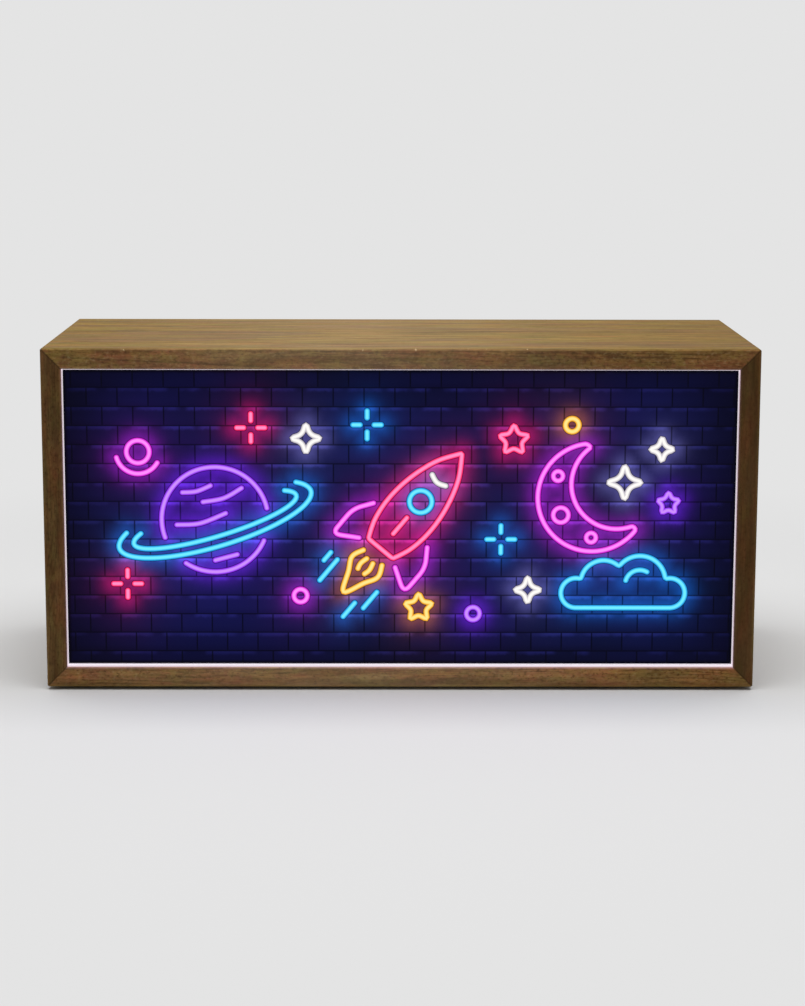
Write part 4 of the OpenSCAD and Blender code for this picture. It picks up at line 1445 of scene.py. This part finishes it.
red = plain_finish("red_wire", "#9E1512", "#C22A22", 0.8, 0.32)
black = plain_finish("black_wire", "#121213", "#2A2A2C", 0.8, 0.34)
dress(red, "jumper_wires_red", "feed_wire", "switched_wire")
dress(black, "jumper_wires_black", "return_wire")
dress(plain_finish("clip_white", "#E6E5DF", "#F6F5F0", 0.6, 0.4), "wire_clips")
dress(plain_finish("plunger_white", "#DAD9D3", "#F0EFEA", 0.5, 0.35), "switch_plunger")
dress(plain_finish("spring_steel", "#8E9196", "#B9BCC2", 0.3, 0.22, 1.0), "switch_spring")
dress(plain_finish("contact_copper", "#B06E3C", "#D5935A", 0.4, 0.24, 1.0), "switch_contact")
brass = plain_finish("terminal_brass", "#BFA25A", "#DCC684", 0.5, 0.25, 1.0)
dress(brass, "switch_terminal_common", "switch_terminal_load")
nickel = plain_finish("inlet_metal", "#A9A69C", "#CFCBBE", 0.4, 0.2, 1.0)
dress(nickel, "inlet_pin", "inlet_sleeve_contact", "inlet_nut")
print("Wires, clips and contacts are dressed")

# %% [markdown]
# ## Switch and inlet
# The switch is moulded in black plastic. Its frame has the fine grain of a spark-eroded mould and its
# rocker is smoother from use. The signs for on and off are a stroke and a ring, pad printed in white.
# They are thin solids that lie in the rocker's faces, so they ride on the rocker and tilt with it.

# %% Black mouldings
housing = plain_finish("switch_black", "#161617", "#242426", 0.3, 0.46, relief=0.5)
rocker = plain_finish("rocker_black", "#18181A", "#222224", 0.6, 0.24, relief=0.08)
jack = plain_finish("inlet_black", "#131314", "#202022", 0.35, 0.4, relief=0.35)
dress(housing, "switch_housing")
dress(rocker, "switch_rocker")
dress(jack, "inlet_body")
ink = plain_finish("mark_white", "#DCDCD8", "#F2F2EE", 0.5, 0.45, relief=0.15)
print("Mouldings are dressed")

# %% Signs on the rocker
hinge = next(joint for joint in frame["joints"] if joint["name"] == "rocker_tilt")
pivot = Vector(hinge["pos_m"])
DIP = 1.9
SLOPE = math.radians(12)
FROM_DIP = 4.2
SIGN_WIDTH = 0.5
SIGN_REACH = 1.35
SIGN_STEP = 0.15
SIGN_RIDGE = 0.01
facing_back = Matrix(((-1, 0, 0, 0), (0, 0, 1, 0), (0, 1, 0, 0), (0, 0, 0, 1)))
tipped = Matrix.Translation(pivot) @ Matrix.Rotation(SLOPE, 4, "X")
stroke = [([(0, -SIGN_REACH), (0, SIGN_REACH)], False)]
loop = [(ring((0, 0), SIGN_REACH), True)]
for name, lines, side in (("rocker_on_sign", stroke, 1), ("rocker_off_sign", loop, -1)):
    made = swept(name, lines, SIGN_WIDTH, SIGN_STEP, SIGN_RIDGE, ink)
    place_in_face = Matrix.Translation(Vector((0, side * FROM_DIP, INK / 2)) * MM)
    lean = Matrix.Translation(Vector((0, DIP, 0)) * MM) @ Matrix.Rotation(-side * SLOPE, 4, "X")
    made.transform(tipped @ lean @ facing_back @ place_in_face)
    add_piece(made, "rocker")
    middle = sum((vertex.co for vertex in made.vertices), Vector()) / len(made.vertices)
    print(name, "centre at", [round(value / MM, 2) for value in middle], "mm")

# %% [markdown]
# ## Floor, light and camera
# The sign stands on a plain pale floor in soft studio light: one wide lamp above, and an even sky. The
# floor fades into the colour of the sky, so no horizon shows, and it keeps the shadow near the sign.
# The camera stands a metre and a half in front, a little above the sign, with a long lens.

# %% Floor
BACKDROP = shade("#E4E4E4")
FLOOR_REACH = 12.0
FLOOR_FADE = (0.3, 0.75)


def seen_directly(start):
    """1 for rays that show a thing to the camera, in a mirror or through glass. 0 for other light."""
    start.node("ShaderNodeLightPath")
    outputs = start.tree.nodes[-1].outputs
    kinds = [Flow(start.tree, outputs[f"Is {kind} Ray"]) for kind in ("Camera", "Glossy", "Transmission")]
    return (kinds[0] + kinds[1] + kinds[2]).least(1.0)


ground = bpy.data.meshes.new("floor")
corners = [(FLOOR_REACH * x, FLOOR_REACH * y, 0) for x, y in ((-1, -1), (1, -1), (1, 1), (-1, 1))]
ground.from_pydata(corners, [], [(0, 1, 2, 3)])
paper = bpy.data.materials.new("floor_paper")
paper.use_nodes = True
tree = paper.node_tree
tree.nodes.clear()
start = Flow(tree)
place = start.node("ShaderNodeTexCoord", output="Object")
near = start.node("ShaderNodeBsdfDiffuse", None, {"Color": shade("#DADADA")})
strength = 0.5 + 0.5 * seen_directly(start)
far = start.node("ShaderNodeEmission", None, {"Color": BACKDROP, "Strength": strength})
blend_amount = place.length().rise(*FLOOR_FADE)
both = start.node("ShaderNodeMixShader", None, {"Fac": blend_amount, "Shader": near, "Shader_001": far})
start.node("ShaderNodeOutputMaterial", None, {"Surface": both})
ground.materials.append(paper)
add_object("floor", ground)
print("Floor reaches", FLOOR_REACH, "m and fades from", FLOOR_FADE[0], "m")

# %% Sky
AMBIENT = 0.3
sky = bpy.data.worlds.new("studio")
sky.use_nodes = True
tree = sky.node_tree
tree.nodes.clear()
start = Flow(tree)
shown = start.node("ShaderNodeBackground", None, {"Color": BACKDROP, "Strength": 1.0})
ambient = start.node("ShaderNodeBackground", None, {"Color": shade(WHITE), "Strength": AMBIENT})
inputs = {"Fac": seen_directly(start), "Shader": ambient, "Shader_001": shown}
both = start.node("ShaderNodeMixShader", None, inputs)
start.node("ShaderNodeOutputWorld", None, {"Surface": both})
bpy.context.scene.world = sky
print("Sky lights with a strength of", AMBIENT)

# %% Lamp
LAMP_SIZE = 2.2
LAMP_POWER = 56.5
lamp = bpy.data.lights.new("softbox", "AREA")
lamp.shape = "SQUARE"
lamp.size = LAMP_SIZE
lamp.energy = LAMP_POWER
softbox = add_object("softbox", lamp)
softbox.location = (0.0, -0.2, 2.3)
print("Lamp of", LAMP_POWER, "W at", tuple(softbox.location))

# %% Camera
PITCH = math.radians(9.86)
YAW = math.radians(0.37)
ROLL = math.radians(0.13)
FOCAL_LENGTH = 86.48
SENSOR = 36.0
lens = bpy.data.cameras.new("camera")
lens.lens = FOCAL_LENGTH
lens.sensor_width = SENSOR
camera = add_object("camera", lens)
camera.location = (-0.008, -1.4895, 0.3564)
level = math.cos(PITCH)
forward = Vector((math.sin(YAW) * level, math.cos(YAW) * level, -math.sin(PITCH)))
camera.rotation_mode = "QUATERNION"
camera.rotation_quaternion = forward.to_track_quat("-Z", "Y") @ Quaternion((0, 0, 1), ROLL)
bpy.context.scene.camera = camera
bpy.context.scene.view_settings.view_transform = "Standard"
print("Camera at", tuple(camera.location))

# %% [markdown] ## Last checks Every solid of the frame should have a material from this lesson.

# %% Measure and finish
bare = sorted(set(nodes) - dressed - {"print_film"})
print("Solids without a finish of their own:", bare)
